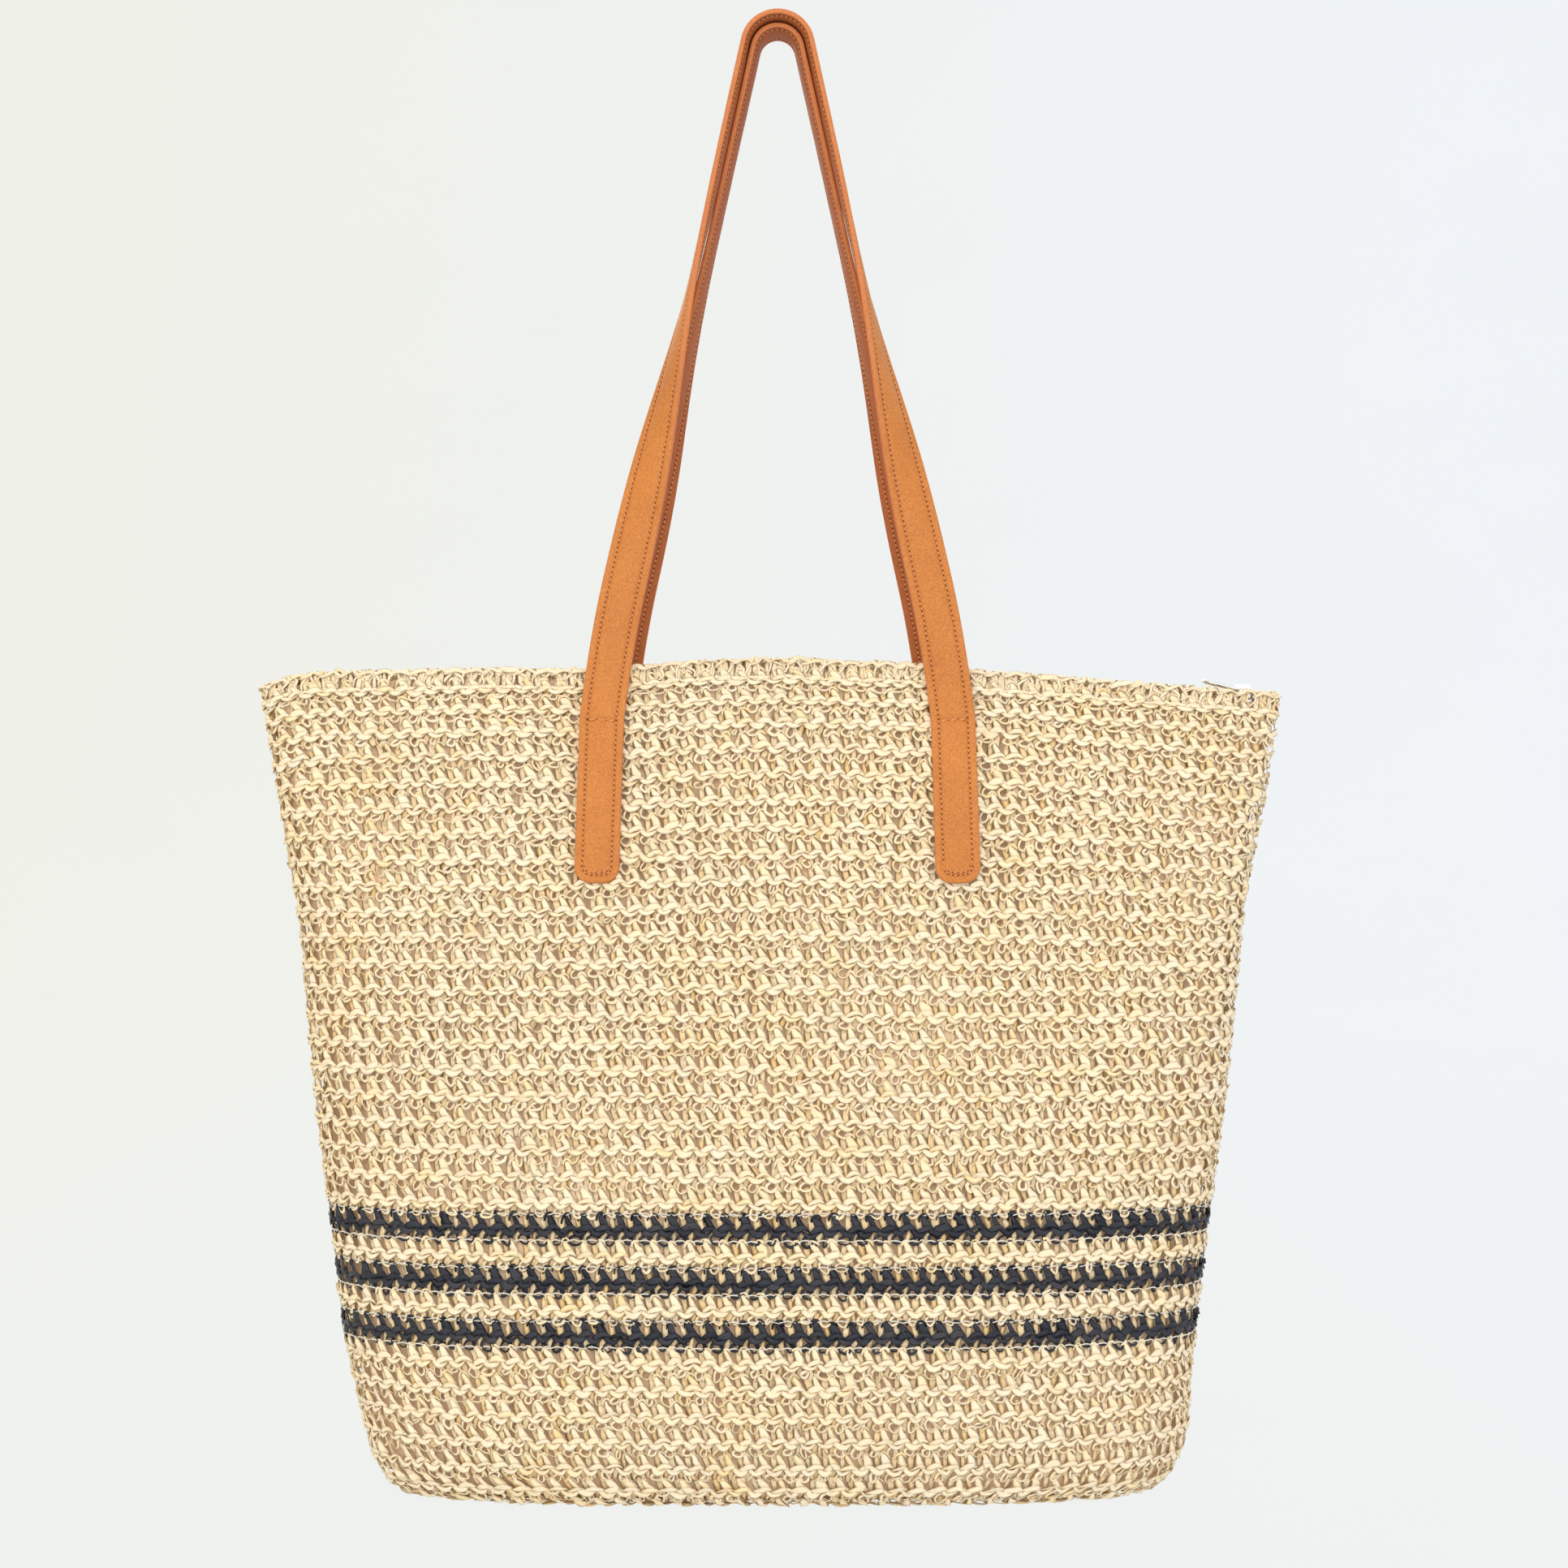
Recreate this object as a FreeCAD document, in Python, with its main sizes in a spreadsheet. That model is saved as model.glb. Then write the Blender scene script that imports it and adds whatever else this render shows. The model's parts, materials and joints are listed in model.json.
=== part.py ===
"""Straw beach tote: a crocheted paper-straw shell with three navy stripes, a loose lining, a zip
across the mouth and two leather strap handles drawn together at the top.

Frame: millimetres, +Z up, origin on the underside of the base at the middle of the bag.
The front of the bag faces -Y, and the closed end of the zip is at +X.
"""
import FreeCAD, Part

import math
import os

from FreeCAD import Placement, Rotation, Vector

DIMENSIONS = [
    # alias, value in mm or degrees, what it is
    ("bag_height", 353.2, "base underside to rim"),
    ("rim_width", 445, "mouth, side to side"),
    ("rim_depth", 28, "mouth, front to back, held flat by the zip"),
    ("hip_width", 365, "widest part just above the base"),
    ("hip_depth", 124, "deepest part just above the base"),
    ("hip_level", 41, "height where the base rounding ends at the sides"),
    ("belly_level", 60, "height where the front and back walls start to lean in"),
    ("side_sag", 3, "how far the side edges bow inward halfway up"),
    ("wall_bulge", 7, "how far the front and back bow outward halfway up"),
    ("base_round_x", 22, "how far the base rounding takes in each side"),
    ("base_round_y", 16, "how far the base rounding takes in front and back"),
    ("corner_power", 3, "exponent of the superellipse cross-section"),
    ("straw_thickness", 4, "crocheted wall"),
    ("base_height", 16, "turned-up edge of the base panel"),
    ("rim_height", 8, "crocheted edging round the mouth"),
    ("stripe_bottom", 68.3, "underside of the lowest navy course"),
    ("course_height", 11, "one crochet course"),
    ("lining_gap", 0.5, "straw to lining"),
    ("lining_thickness", 0.8, "lining cloth"),
    ("zip_level", 340.2, "underside of the zip tape"),
    ("tape_thickness", 0.6, "zip tape"),
    ("tape_edge", 2.2, "middle of the zip to the edge of each tape"),
    ("row_gap", 1.2, "between the two rows of teeth, for the slider's neck"),
    ("tooth_height", 2, "tooth, top to bottom"),
    ("tooth_length", 1.5, "tooth, along the zip"),
    ("tooth_pitch", 3, "tooth to tooth in one row"),
    ("zip_open_end", -190, "x of the last tooth at the open end"),
    ("zip_closed_end", 210, "x of the last tooth at the closed end"),
    ("stop_length", 2.5, "end stop, along the zip"),
    ("stop_width", 5.2, "end stop, across the zip"),
    ("slider_place", 205.3, "x of the slider's middle, zip closed"),
    ("slider_length", 9, "slider, along the zip"),
    ("slider_width", 6, "slider, across the zip"),
    ("slider_plate", 1, "thickness of each slider plate"),
    ("slider_clearance", 0.3, "slider plates to teeth"),
    ("flange_width", 0.55, "slider side flange"),
    ("tape_slot", 0.25, "slider flange to tape"),
    ("neck_thickness", 0.6, "slider neck, across the zip"),
    ("neck_length", 4, "slider neck, along the zip"),
    ("bridge_length", 7, "arch that holds the pull, along the zip"),
    ("bridge_width", 2, "arch, across the zip"),
    ("bridge_height", 3.8, "arch above the slider's top plate"),
    ("bridge_bar", 1.3, "material left over and beside the arch's hole"),
    ("pull_wire", 1.4, "wire of the pull"),
    ("pull_neck", 4.2, "pull, between its two sides at the pin"),
    ("pull_bow", 8, "pull, between its two sides at the round end"),
    ("pull_length", 12.5, "pin to the centre of the round end"),
    ("pull_angle", 14, "how far the resting pull points above the zip"),
    ("pin_offset", 0.8, "pull pin, left of the slider's middle"),
    ("pin_rise", 1.4, "pull pin above the slider's top plate"),
    ("strap_width", 19, "handle strap"),
    ("strap_thickness", 3, "handle strap, all layers"),
    ("core_width", 12, "filler between the two leather layers"),
    ("core_thickness", 1.2, "filler"),
    ("core_play", 0.1, "filler to the leather round it"),
    ("tab_bottom", 261.5, "lower end of the sewn strap ends"),
    ("hinge_level", 331.5, "cross seam where the loose strap starts"),
    ("hinge_gap", 2.2, "sewn end to hinge line"),
    ("hinge_proud", 0.3, "hinge line in front of the strap's outer face"),
    ("rim_clearance", 2, "rim edging to the straps that pass it"),
    ("tab_gap", 0.4, "sewn end to straw"),
    ("tab_corner", 7, "corner radius of the sewn ends"),
    ("front_reach", 75.2, "middle of the handles to each front strap"),
    ("back_reach", 72, "middle of the handles to each back strap"),
    ("handle_shift", 3.2, "middle of the bag to the middle of the handles"),
    ("tab_spread", 1.5, "how far the lower corners of the sewn ends stand out sideways"),
    ("apex_level", 635, "top of the front strap's middle line over the hook"),
    ("apex_radius", 15.5, "front strap's middle line over the hook"),
    ("apex_offset", 3, "middle of the hook's place to each strap's middle"),
    ("nesting", 4.6, "how far inside the front strap's arch the back strap runs"),
    ("seam_lean", 6, "straps at their cross seams, off upright"),
    ("front_lean", 12.2, "straight part of the front strap, off upright"),
    ("back_lean", 12.5, "straight part of the back strap, off upright"),
    ("twist_angle", 96, "turn of each strap from its seam to the hook"),
    ("twist_start", 20, "cross seam to where the straps begin to turn"),
    ("front_twist_length", 131, "how soon the front straps turn edge-on"),
    ("front_twist_power", 2.6, "and how sharply"),
    ("back_twist_length", 110, "how soon the back straps turn edge-on"),
    ("back_twist_power", 2.6, "and how sharply"),
]

doc = FreeCAD.newDocument("beach_bag")
sheet = doc.addObject("Spreadsheet::Sheet", "Dimensions")
for row, (alias, value, meaning) in enumerate(DIMENSIONS, start=1):
    sheet.set(f"A{row}", meaning)
    sheet.set(f"B{row}", str(value))
    sheet.setAlias(f"B{row}", alias)
doc.recompute()

SUB_PARTS = []


def size(alias):
    """A driving dimension, read from the sheet."""
    return float(sheet.get(alias))


def bind(thing, **expressions):
    """Ties properties of a document object to formulas over the sheet's aliases, written $alias."""
    for path, formula in expressions.items():
        thing.setExpression(path.replace("__", "."), formula.replace("$", "Dimensions."))


def sub_part(thing, name):
    """Gives an object the name of the sub-part that it is."""
    thing.Label = name
    SUB_PARTS.append(thing)
    return thing


def bound_box(name, length, width, height, x, y, z):
    """A Part::Box whose sizes and place are formulas over the sheet."""
    box = doc.addObject("Part::Box", name)
    bind(box, Length=length, Width=width, Height=height)
    bind(box, Placement__Base__x=x, Placement__Base__y=y, Placement__Base__z=z)
    return box


def cut(name, base, tool):
    made = doc.addObject("Part::Cut", name)
    made.Base, made.Tool = base, tool
    return made


def common(name, *shapes):
    made = doc.addObject("Part::MultiCommon", name)
    made.Shapes = list(shapes)
    return made


def fuse(name, *shapes):
    made = doc.addObject("Part::MultiFuse", name)
    made.Shapes = list(shapes)
    return made


def feature(name, shape):
    """An object whose shape is computed here from the sheet's sizes."""
    made = doc.addObject("Part::Feature", name)
    made.Shape = shape
    return made


# The bag's outer form


def rounding(level):
    """How much of the base rounding is left at this height, from 1 at the floor to 0."""
    share = max(0.0, 1.0 - level / size("hip_level"))
    return 1.0 - math.sqrt(1.0 - share * share)


def half_width(level):
    rise = max(0.0, (level - size("hip_level")) / (size("bag_height") - size("hip_level")))
    straight = size("hip_width") + (size("rim_width") - size("hip_width")) * rise
    bow = 4.0 * size("side_sag") * rise * (1.0 - rise)
    return straight / 2.0 - bow - size("base_round_x") * rounding(level)


def half_depth(level):
    rise = max(0.0, (level - size("belly_level")) / (size("bag_height") - size("belly_level")))
    straight = size("hip_depth") + (size("rim_depth") - size("hip_depth")) * rise
    bow = 4.0 * size("wall_bulge") * rise * (1.0 - rise)
    return straight / 2.0 + bow - size("base_round_y") * rounding(level)


def wall_at(x, level):
    """Distance from the bag's middle plane to the outside of its front or back wall."""
    power = size("corner_power")
    return half_depth(level) * (1.0 - (abs(x) / half_width(level)) ** power) ** (1.0 / power)


def outline(level, inset):
    """The closed superellipse of the bag at one height, moved in by inset all round."""
    power = 2.0 / size("corner_power")
    wide, deep = half_width(level) - inset, half_depth(level) - inset
    steps = 40
    points = []
    for step in range(steps):
        turn = 2.0 * math.pi * step / steps
        along, across = math.cos(turn), math.sin(turn)
        x = math.copysign(wide * abs(along) ** power, along)
        y = math.copysign(deep * abs(across) ** power, across)
        points.append(Vector(x, y, level))
    curve = Part.BSplineCurve()
    curve.interpolate(points, PeriodicFlag=True)
    return Part.Wire([curve.toShape()])


def body_levels(low, high):
    """Heights for the lofts: close together in the base rounding, further apart above it."""
    top = size("bag_height")
    hip = size("hip_level")
    rounded = [hip * (1.0 - math.cos(math.radians(angle))) for angle in (0, 15, 30, 45, 60, 75, 90)]
    walls = [hip + (top - hip) * step / 12.0 for step in range(1, 13)]
    inside = [level for level in rounded + walls if low + 1.0 < level < high - 1.0]
    return [low, *inside, high]


def bag_form(low, high, inset):
    """The solid that fills the bag between two heights, moved in by inset."""
    return Part.makeLoft([outline(level, inset) for level in body_levels(low, high)], True, True)


def band(name, wall, bottom, height):
    """One height band of a wall, as formulas for its bottom and height."""
    slab = bound_box(
        name + "_slab", "$rim_width + 100", "$hip_depth + 100", height,
        "-($rim_width + 100) / 2", "-($hip_depth + 100) / 2", bottom,
    )
    return sub_part(common(name, wall, slab), name)


def straw_shell():
    """The crocheted shell: base panel, courses of straw and navy yarn, and the rim's edging."""
    top, thick = size("bag_height"), size("straw_thickness")
    outside = feature("straw_outside", bag_form(0.0, top, 0.0))
    inside = feature("straw_inside", bag_form(thick, top + 1.0, thick))
    wall = cut("straw_wall", outside, inside)
    band("straw_base", wall, "0", "$base_height")
    band("straw_lower_wall", wall, "$base_height", "$stripe_bottom - $base_height")
    courses = [
        "navy_stripe_lower", "straw_band_lower", "navy_stripe_middle", "straw_band_upper",
        "navy_stripe_upper",
    ]
    for place, name in enumerate(courses):
        band(name, wall, f"$stripe_bottom + {place} * $course_height", "$course_height")
    above = f"$stripe_bottom + {len(courses)} * $course_height"
    band("straw_upper_wall", wall, above, f"$bag_height - $rim_height - ({above})")
    band("rim_edging", wall, "$bag_height - $rim_height", "$rim_height")


def lining():
    """The loose cloth bag inside the straw: front, back and base pieces, sewn at the sides."""
    outer = size("straw_thickness") + size("lining_gap")
    inner = outer + size("lining_thickness")
    top = size("zip_level")
    outside = feature("lining_outside", bag_form(outer, top, outer))
    inside = feature("lining_inside", bag_form(inner, top + 1.0, inner))
    cloth = cut("lining_cloth", outside, inside)
    wide, deep = "$rim_width + 100", "$hip_depth + 100"
    low = "$base_height"
    tall = "$bag_height - $base_height"
    middle = f"-({wide}) / 2"
    front = bound_box("lining_front_half", wide, deep, tall, middle, f"-({deep})", low)
    back = bound_box("lining_back_half", wide, deep, tall, middle, "0", low)
    floor = bound_box("lining_base_slab", wide, deep, low, middle, f"-({deep}) / 2", "0")
    for name, region in (
        ("lining_front", front), ("lining_back", back), ("lining_base", floor),
    ):
        sub_part(common(name, cloth, region), name)


# The zip


def zip_tapes():
    """Two flat tapes from the lining to the teeth, one in front and one behind."""
    low = size("zip_level")
    inset = size("straw_thickness") + size("lining_gap")
    high = low + size("tape_thickness")
    plate = Part.makeLoft([outline(low, inset), outline(high, inset)], True, True)
    mouth = feature("tape_form", plate)
    for name, y in (("zip_tape_front", "-($rim_depth + $tape_edge)"), ("zip_tape_back", "$tape_edge")):
        half = bound_box(
            name + "_half", "$rim_width", "$rim_depth", "$tape_thickness",
            "-$rim_width / 2", y, "$zip_level",
        )
        sub_part(common(name, mouth, half), name)


def tooth_row(name, side, shift):
    """One row of zip teeth as separate solids: side is -1 in front and 1 behind."""
    length, tall, gap = size("tooth_length"), size("tooth_height"), size("row_gap")
    deep = size("tape_edge") - gap / 2.0
    y = gap / 2.0 if side > 0 else -size("tape_edge")
    z = size("zip_level") + size("tape_thickness") / 2.0 - tall / 2.0
    x = size("zip_open_end") + shift
    teeth = []
    while x < size("zip_closed_end") - length:
        teeth.append(Part.makeBox(length, deep, tall, Vector(x, y, z)))
        x += size("tooth_pitch")
    return sub_part(feature(name, Part.makeCompound(teeth)), name)


def zip_stop(name, x):
    """A metal stop clamped across both tapes at one end of the teeth."""
    middle = "$zip_level + $tape_thickness / 2"
    block = bound_box(
        name + "_block", "$stop_length", "$stop_width", "$tooth_height",
        x, "-$stop_width / 2", f"{middle} - $tooth_height / 2",
    )
    slots = [
        bound_box(
            f"{name}_{side}_slot", "$stop_length", "$stop_width", "$tape_thickness",
            x, y, "$zip_level",
        )
        for side, y in (("front", "-($stop_width + $tape_edge)"), ("back", "$tape_edge"))
    ]
    return sub_part(cut(name, block, fuse(name + "_slots", *slots)), name)


def rectangle(sketch, low, high):
    """Adds a closed rectangle to a sketch between two opposite corners."""
    corners = [(low[0], low[1]), (high[0], low[1]), (high[0], high[1]), (low[0], high[1])]
    for start, end in zip(corners, corners[1:] + corners[:1]):
        sketch.addGeometry(Part.LineSegment(Vector(*start, 0), Vector(*end, 0)), False)


def slider_body():
    """The zip slider: a neck at the nose joins two plates, each with a flange at both sides.

    The sketches lie across the zip, in the body's YZ plane, and are padded along it.
    """
    body = doc.addObject("PartDesign::Body", "slider")
    sub_part(body, "slider_body")
    across = [f for f in body.Origin.OriginFeatures if f.Role == "YZ_Plane"][0]
    chain = size("tooth_height") / 2.0 + size("slider_clearance")
    plate = chain + size("slider_plate")
    slot = size("tape_thickness") / 2.0 + size("tape_slot")
    half, neck = size("slider_width") / 2.0, size("neck_thickness") / 2.0
    lip = half - size("flange_width")

    def pad(name, boxes, length):
        sketch = body.newObject("Sketcher::SketchObject", name + "_sketch")
        sketch.AttachmentSupport = [(across, "")]
        sketch.MapMode = "FlatFace"
        for low, high in boxes:
            rectangle(sketch, low, high)
        made = body.newObject("PartDesign::Pad", name)
        made.Profile = sketch
        bind(made, Length=length)
        return made

    pad("neck", [((-neck, -plate), (neck, plate))], "$neck_length")
    for name, side in (("top", 1), ("bottom", -1)):
        pad(name + "_plate", [((-half, side * chain), (half, side * plate))], "$slider_length")
        for edge, (a, b) in (("left", (-half, -lip)), ("right", (lip, half))):
            pad(f"{name}_{edge}_flange", [((a, side * slot), (b, side * plate))], "$slider_length")
    bind(
        body,
        Placement__Base__x="$slider_place + $slider_length / 2",
        Placement__Base__z="$zip_level + $tape_thickness / 2",
    )
    body.Placement.Rotation = Rotation(Vector(0, 0, 1), 180)
    return body


PLATE_TOP = "$zip_level + ($tape_thickness + $tooth_height) / 2 + $slider_clearance + $slider_plate"


def slider_bridge():
    """The arch on the slider's top plate that the pull hangs in."""
    arch = bound_box(
        "bridge_block", "$bridge_length", "$bridge_width", "$bridge_height",
        "$slider_place - $bridge_length / 2", "-$bridge_width / 2", PLATE_TOP,
    )
    rounded = doc.addObject("Part::Fillet", "bridge_rounded")
    rounded.Base = arch
    doc.recompute()
    top = arch.Shape.BoundBox.ZMax
    ends = [
        number
        for number, edge in enumerate(arch.Shape.Edges, start=1)
        if edge.BoundBox.ZMin > top - 0.01 and edge.BoundBox.XLength < 0.01
    ]
    rounded.Edges = [(number, 1.2, 1.2) for number in ends]
    hole = bound_box(
        "bridge_hole", "$bridge_length - 2 * $bridge_bar", "$bridge_width",
        "$bridge_height - $bridge_bar",
        "$slider_place - $bridge_length / 2 + $bridge_bar", "-$bridge_width / 2", PLATE_TOP,
    )
    return sub_part(cut("bridge", rounded, hole), "slider_bridge")


def pull_pin():
    """Where the pull's pin lies, which is the axis that the pull flips about."""
    plate = size("zip_level") + (size("tape_thickness") + size("tooth_height")) / 2.0
    plate += size("slider_clearance") + size("slider_plate")
    return Vector(size("slider_place") - size("pin_offset"), 0, plate + size("pin_rise"))


def zip_pull():
    """A teardrop of wire: a pin through the bridge, two sides that spread and a round end."""
    wire, neck, bow = size("pull_wire") / 2.0, size("pull_neck") / 2.0, size("pull_bow") / 2.0
    reach = size("pull_length")
    lean = math.asin((bow - neck) / math.hypot(reach, bow - neck))
    touch = Vector(-reach + bow * math.sin(lean), bow * math.cos(lean), 0)
    pieces = [Part.makeCylinder(wire, 2.0 * neck, Vector(0, -neck, 0), Vector(0, 1, 0))]
    for side in (-1, 1):
        start = Vector(0, side * neck, 0)
        end = Vector(touch.x, side * touch.y, 0)
        pieces.append(Part.makeSphere(wire, start))
        pieces.append(Part.makeCylinder(wire, (end - start).Length, start, end - start))
    sweep = 180.0 + 2.0 * math.degrees(lean)
    bend = Part.makeTorus(bow, wire, Vector(), Vector(0, 0, 1), -180, 180, sweep)
    bend.Placement = Placement(Vector(-reach, 0, 0), Rotation(Vector(0, 0, 1), 90 - math.degrees(lean)))
    pieces.append(bend)
    shape = pieces[0].multiFuse(pieces[1:]).removeSplitter()
    made = feature("pull", shape)
    made.Placement.Base = pull_pin()
    made.Placement.Rotation = Rotation(Vector(0, 1, 0), size("pull_angle"))
    return sub_part(made, "zip_pull")


# The handles


def hinge_place(reach):
    """Distance from the middle plane to the strap's middle at the cross seam."""
    return wall_at(reach, size("hinge_level")) + size("tab_gap") + size("strap_thickness") / 2.0


def hinge_line(reach):
    """Distance from the middle plane to the line that a folding strap turns about."""
    return hinge_place(reach) + size("strap_thickness") / 2.0 + size("hinge_proud")


def apex_level(nesting):
    """Top of a strap's middle line, for a strap so far inside the front one."""
    return size("apex_level") - nesting


def strap_depth(reach, nesting, level):
    """Distance from the middle plane to the strap's middle: along the wall, then to the hook."""
    foot, rim, top = size("hinge_level"), size("bag_height"), apex_level(nesting)
    start = hinge_place(reach)
    passing = wall_at(reach, rim) + size("rim_clearance") + size("strap_thickness") / 2.0
    if level <= rim:
        return start + (passing - start) * (level - foot) / (rim - foot)
    return passing + (size("apex_offset") - passing) * (level - rim) / (top - rim)


def strap_route(reach, nesting, lean):
    """Half of a strap's middle line, from the cross seam to the apex.

    Each point is (x, z, outward direction x, outward direction z, length so far). The line
    leaves the seam a little off upright, bends in on a large arc, runs straight and turns over
    the hook on a small one. The large arc's radius makes the three meet smoothly.
    """
    lean, first = math.radians(lean), math.radians(size("seam_lean"))
    small = size("apex_radius") - nesting
    foot = size("hinge_level")
    turn_x = small * math.cos(lean)
    turn_z = apex_level(nesting) - small + small * math.sin(lean)
    spare = turn_x + math.tan(lean) * (turn_z - foot) - reach
    bend = math.tan(lean) * (math.sin(lean) - math.sin(first)) - math.cos(first) + math.cos(lean)
    large = spare / bend
    points = []
    steps = 12
    for step in range(steps + 1):
        angle = first + (lean - first) * step / steps
        x = reach - large * (math.cos(first) - math.cos(angle))
        z = foot + large * (math.sin(angle) - math.sin(first))
        points.append((x, z, math.cos(angle), math.sin(angle), large * (angle - first)))
    x0, z0, _, _, so_far = points[-1]
    run = math.hypot(x0 - turn_x, turn_z - z0)
    steps = 12
    for step in range(1, steps + 1):
        share = step / steps
        x = x0 + (turn_x - x0) * share
        z = z0 + (turn_z - z0) * share
        points.append((x, z, math.cos(lean), math.sin(lean), so_far + run * share))
    steps = 7
    for step in range(1, steps + 1):
        angle = lean + (math.pi / 2.0 - lean) * step / steps
        x = small * math.cos(angle)
        z = apex_level(nesting) - small + small * math.sin(angle)
        points.append((x, z, math.cos(angle), math.sin(angle), so_far + run + small * (angle - lean)))
    return points, so_far + run


def strap_frames(reach, face, nesting, lean, twist_length, twist_power):
    """Centre, across and outward vectors all along one strap, from the left seam to the right.

    face is -1 for the front strap and 1 for the back one. The strap lies flat at the seams and
    turns edge-on towards the hook, so that its outer face ends on top.
    """
    half, whole = strap_route(reach, nesting, lean)
    turned_by = whole - size("twist_start")
    frames = []

    def turn_share(length):
        return 1.0 - math.exp(-((max(0.0, length) / twist_length) ** twist_power))

    for side, points in ((-1, half), (1, half[-2::-1])):
        for x, z, out_x, out_z, length in points:
            share = min(1.0, turn_share(length - size("twist_start")) / turn_share(turned_by))
            twist = math.radians(size("twist_angle") * share)
            y = face * strap_depth(reach, nesting, z)
            outward = Vector(side * out_x, 0, out_z)
            forward = Vector(0, face, 0)
            normal = forward * math.cos(twist) + outward * math.sin(twist)
            along = Vector(out_z, 0, -side * out_x)
            across = along.cross(normal)
            centre = Vector(side * x + size("handle_shift"), y, z)
            frames.append((centre, across.normalize(), normal.normalize()))
    return frames


def layer(frames, section):
    """A ruled solid with the same polygon section, (across, outward) pairs, at each frame."""
    wires = []
    for centre, across, normal in frames:
        corners = [centre + across * u + normal * v for u, v in section]
        wires.append(Part.makePolygon(corners + corners[:1]))
    return Part.makeLoft(wires, True, True)


def handle(side_name, face, nesting):
    """One strap in three layers: face leather, backing leather and the filler between them."""
    reach, lean = size(f"{side_name}_reach"), size(f"{side_name}_lean")
    twist_length, twist_power = size(f"{side_name}_twist_length"), size(f"{side_name}_twist_power")
    frames = strap_frames(reach, face, nesting, lean, twist_length, twist_power)
    wide, core = size("strap_width") / 2.0, size("core_width") / 2.0
    thick, fill = size("strap_thickness") / 2.0, size("core_thickness") / 2.0
    shell = [(-wide, 0), (-core, 0), (-core, fill), (core, fill), (core, 0), (wide, 0),
             (wide, thick), (-wide, thick)]
    flipped = [(u, -v) for u, v in shell]
    core, fill = core - size("core_play"), fill - size("core_play")
    filler = [(-core, -fill), (core, -fill), (core, fill), (-core, fill)]
    for name, section in (("outer", shell), ("inner", flipped), ("core", filler)):
        full = f"{side_name}_strap_{name}"
        sub_part(feature(full, layer(frames, section)), full)


def sewn_end(name, face, side, reach):
    """The flat end of a strap, sewn to the straw below the rim, with rounded lower corners."""
    low, high = size("tab_bottom"), size("hinge_level") - size("hinge_gap")
    wide, corner = size("strap_width") / 2.0, size("tab_corner")
    thick = size("strap_thickness") / 2.0
    levels = [low + corner * (1.0 - math.cos(math.radians(a))) for a in (0, 20, 40, 60, 75, 90)]
    levels += [levels[-1] + (high - levels[-1]) * step / 5.0 for step in range(1, 6)]
    frames = []
    sections = []
    for level in levels:
        x = side * (reach + size("tab_spread") * (high - level) / (high - low)) + size("handle_shift")
        y = face * (wall_at(x, level) + size("tab_gap") + thick)
        fall = max(0.0, low + corner - level)
        narrow = corner - math.sqrt(corner * corner - fall * fall)
        frames.append(Vector(x, y, level))
        half = wide - narrow
        sections.append([(-half, -thick), (half, -thick), (half, thick), (-half, thick)])
    wires = []
    for centre, section in zip(frames, sections):
        corners = [centre + Vector(u, v, 0) for u, v in section]
        wires.append(Part.makePolygon(corners + corners[:1]))
    return sub_part(feature(name, Part.makeLoft(wires, True, True)), name)


straw_shell()
lining()
zip_tapes()
tooth_row("zip_teeth_front", -1, 0.0)
tooth_row("zip_teeth_back", 1, size("tooth_pitch") / 2.0)
zip_stop("zip_bottom_stop", "$zip_open_end - $stop_length - 1")
zip_stop("zip_top_stop", "$zip_closed_end")
slider_body()
slider_bridge()
zip_pull()
handle("front", -1, 0.0)
handle("back", 1, size("nesting"))
for face_name, face, reach in (("front", -1, size("front_reach")), ("back", 1, size("back_reach"))):
    sewn_end(f"{face_name}_tab_left", face, -1, reach)
    sewn_end(f"{face_name}_tab_right", face, 1, reach)

doc.recompute()
for thing in doc.Objects:
    if "Invalid" in thing.State or "Error" in thing.State:
        raise RuntimeError(f"{thing.Label} failed: {thing.State}")
os.makedirs("parts", exist_ok=True)
for thing in SUB_PARTS:
    shape = thing.Shape
    if shape.isNull() or not shape.isValid() or shape.Volume <= 0:
        raise RuntimeError(f"{thing.Label} has no valid solid")
    print(f"{thing.Label}: {len(shape.Solids)} solids, {shape.Volume:.0f} mm3")
for thing in SUB_PARTS:
    thing.Shape.exportStep(f"parts/{thing.Label}.step")
pin = pull_pin()
print(f"pull pin at {pin.x:.3f}, {pin.z:.3f}")
for reach in (size("front_reach"), size("back_reach")):
    print(f"hinge at y {hinge_line(reach):.3f}, z {size('hinge_level'):.3f}")
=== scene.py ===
"""Looks for the straw beach tote: crocheted straw and navy courses, leather handles, lining and zip.

Lengths are in metres in the row frame. Stitches are built in millimetres on the bag's surface.
"""

import json
import math

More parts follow.
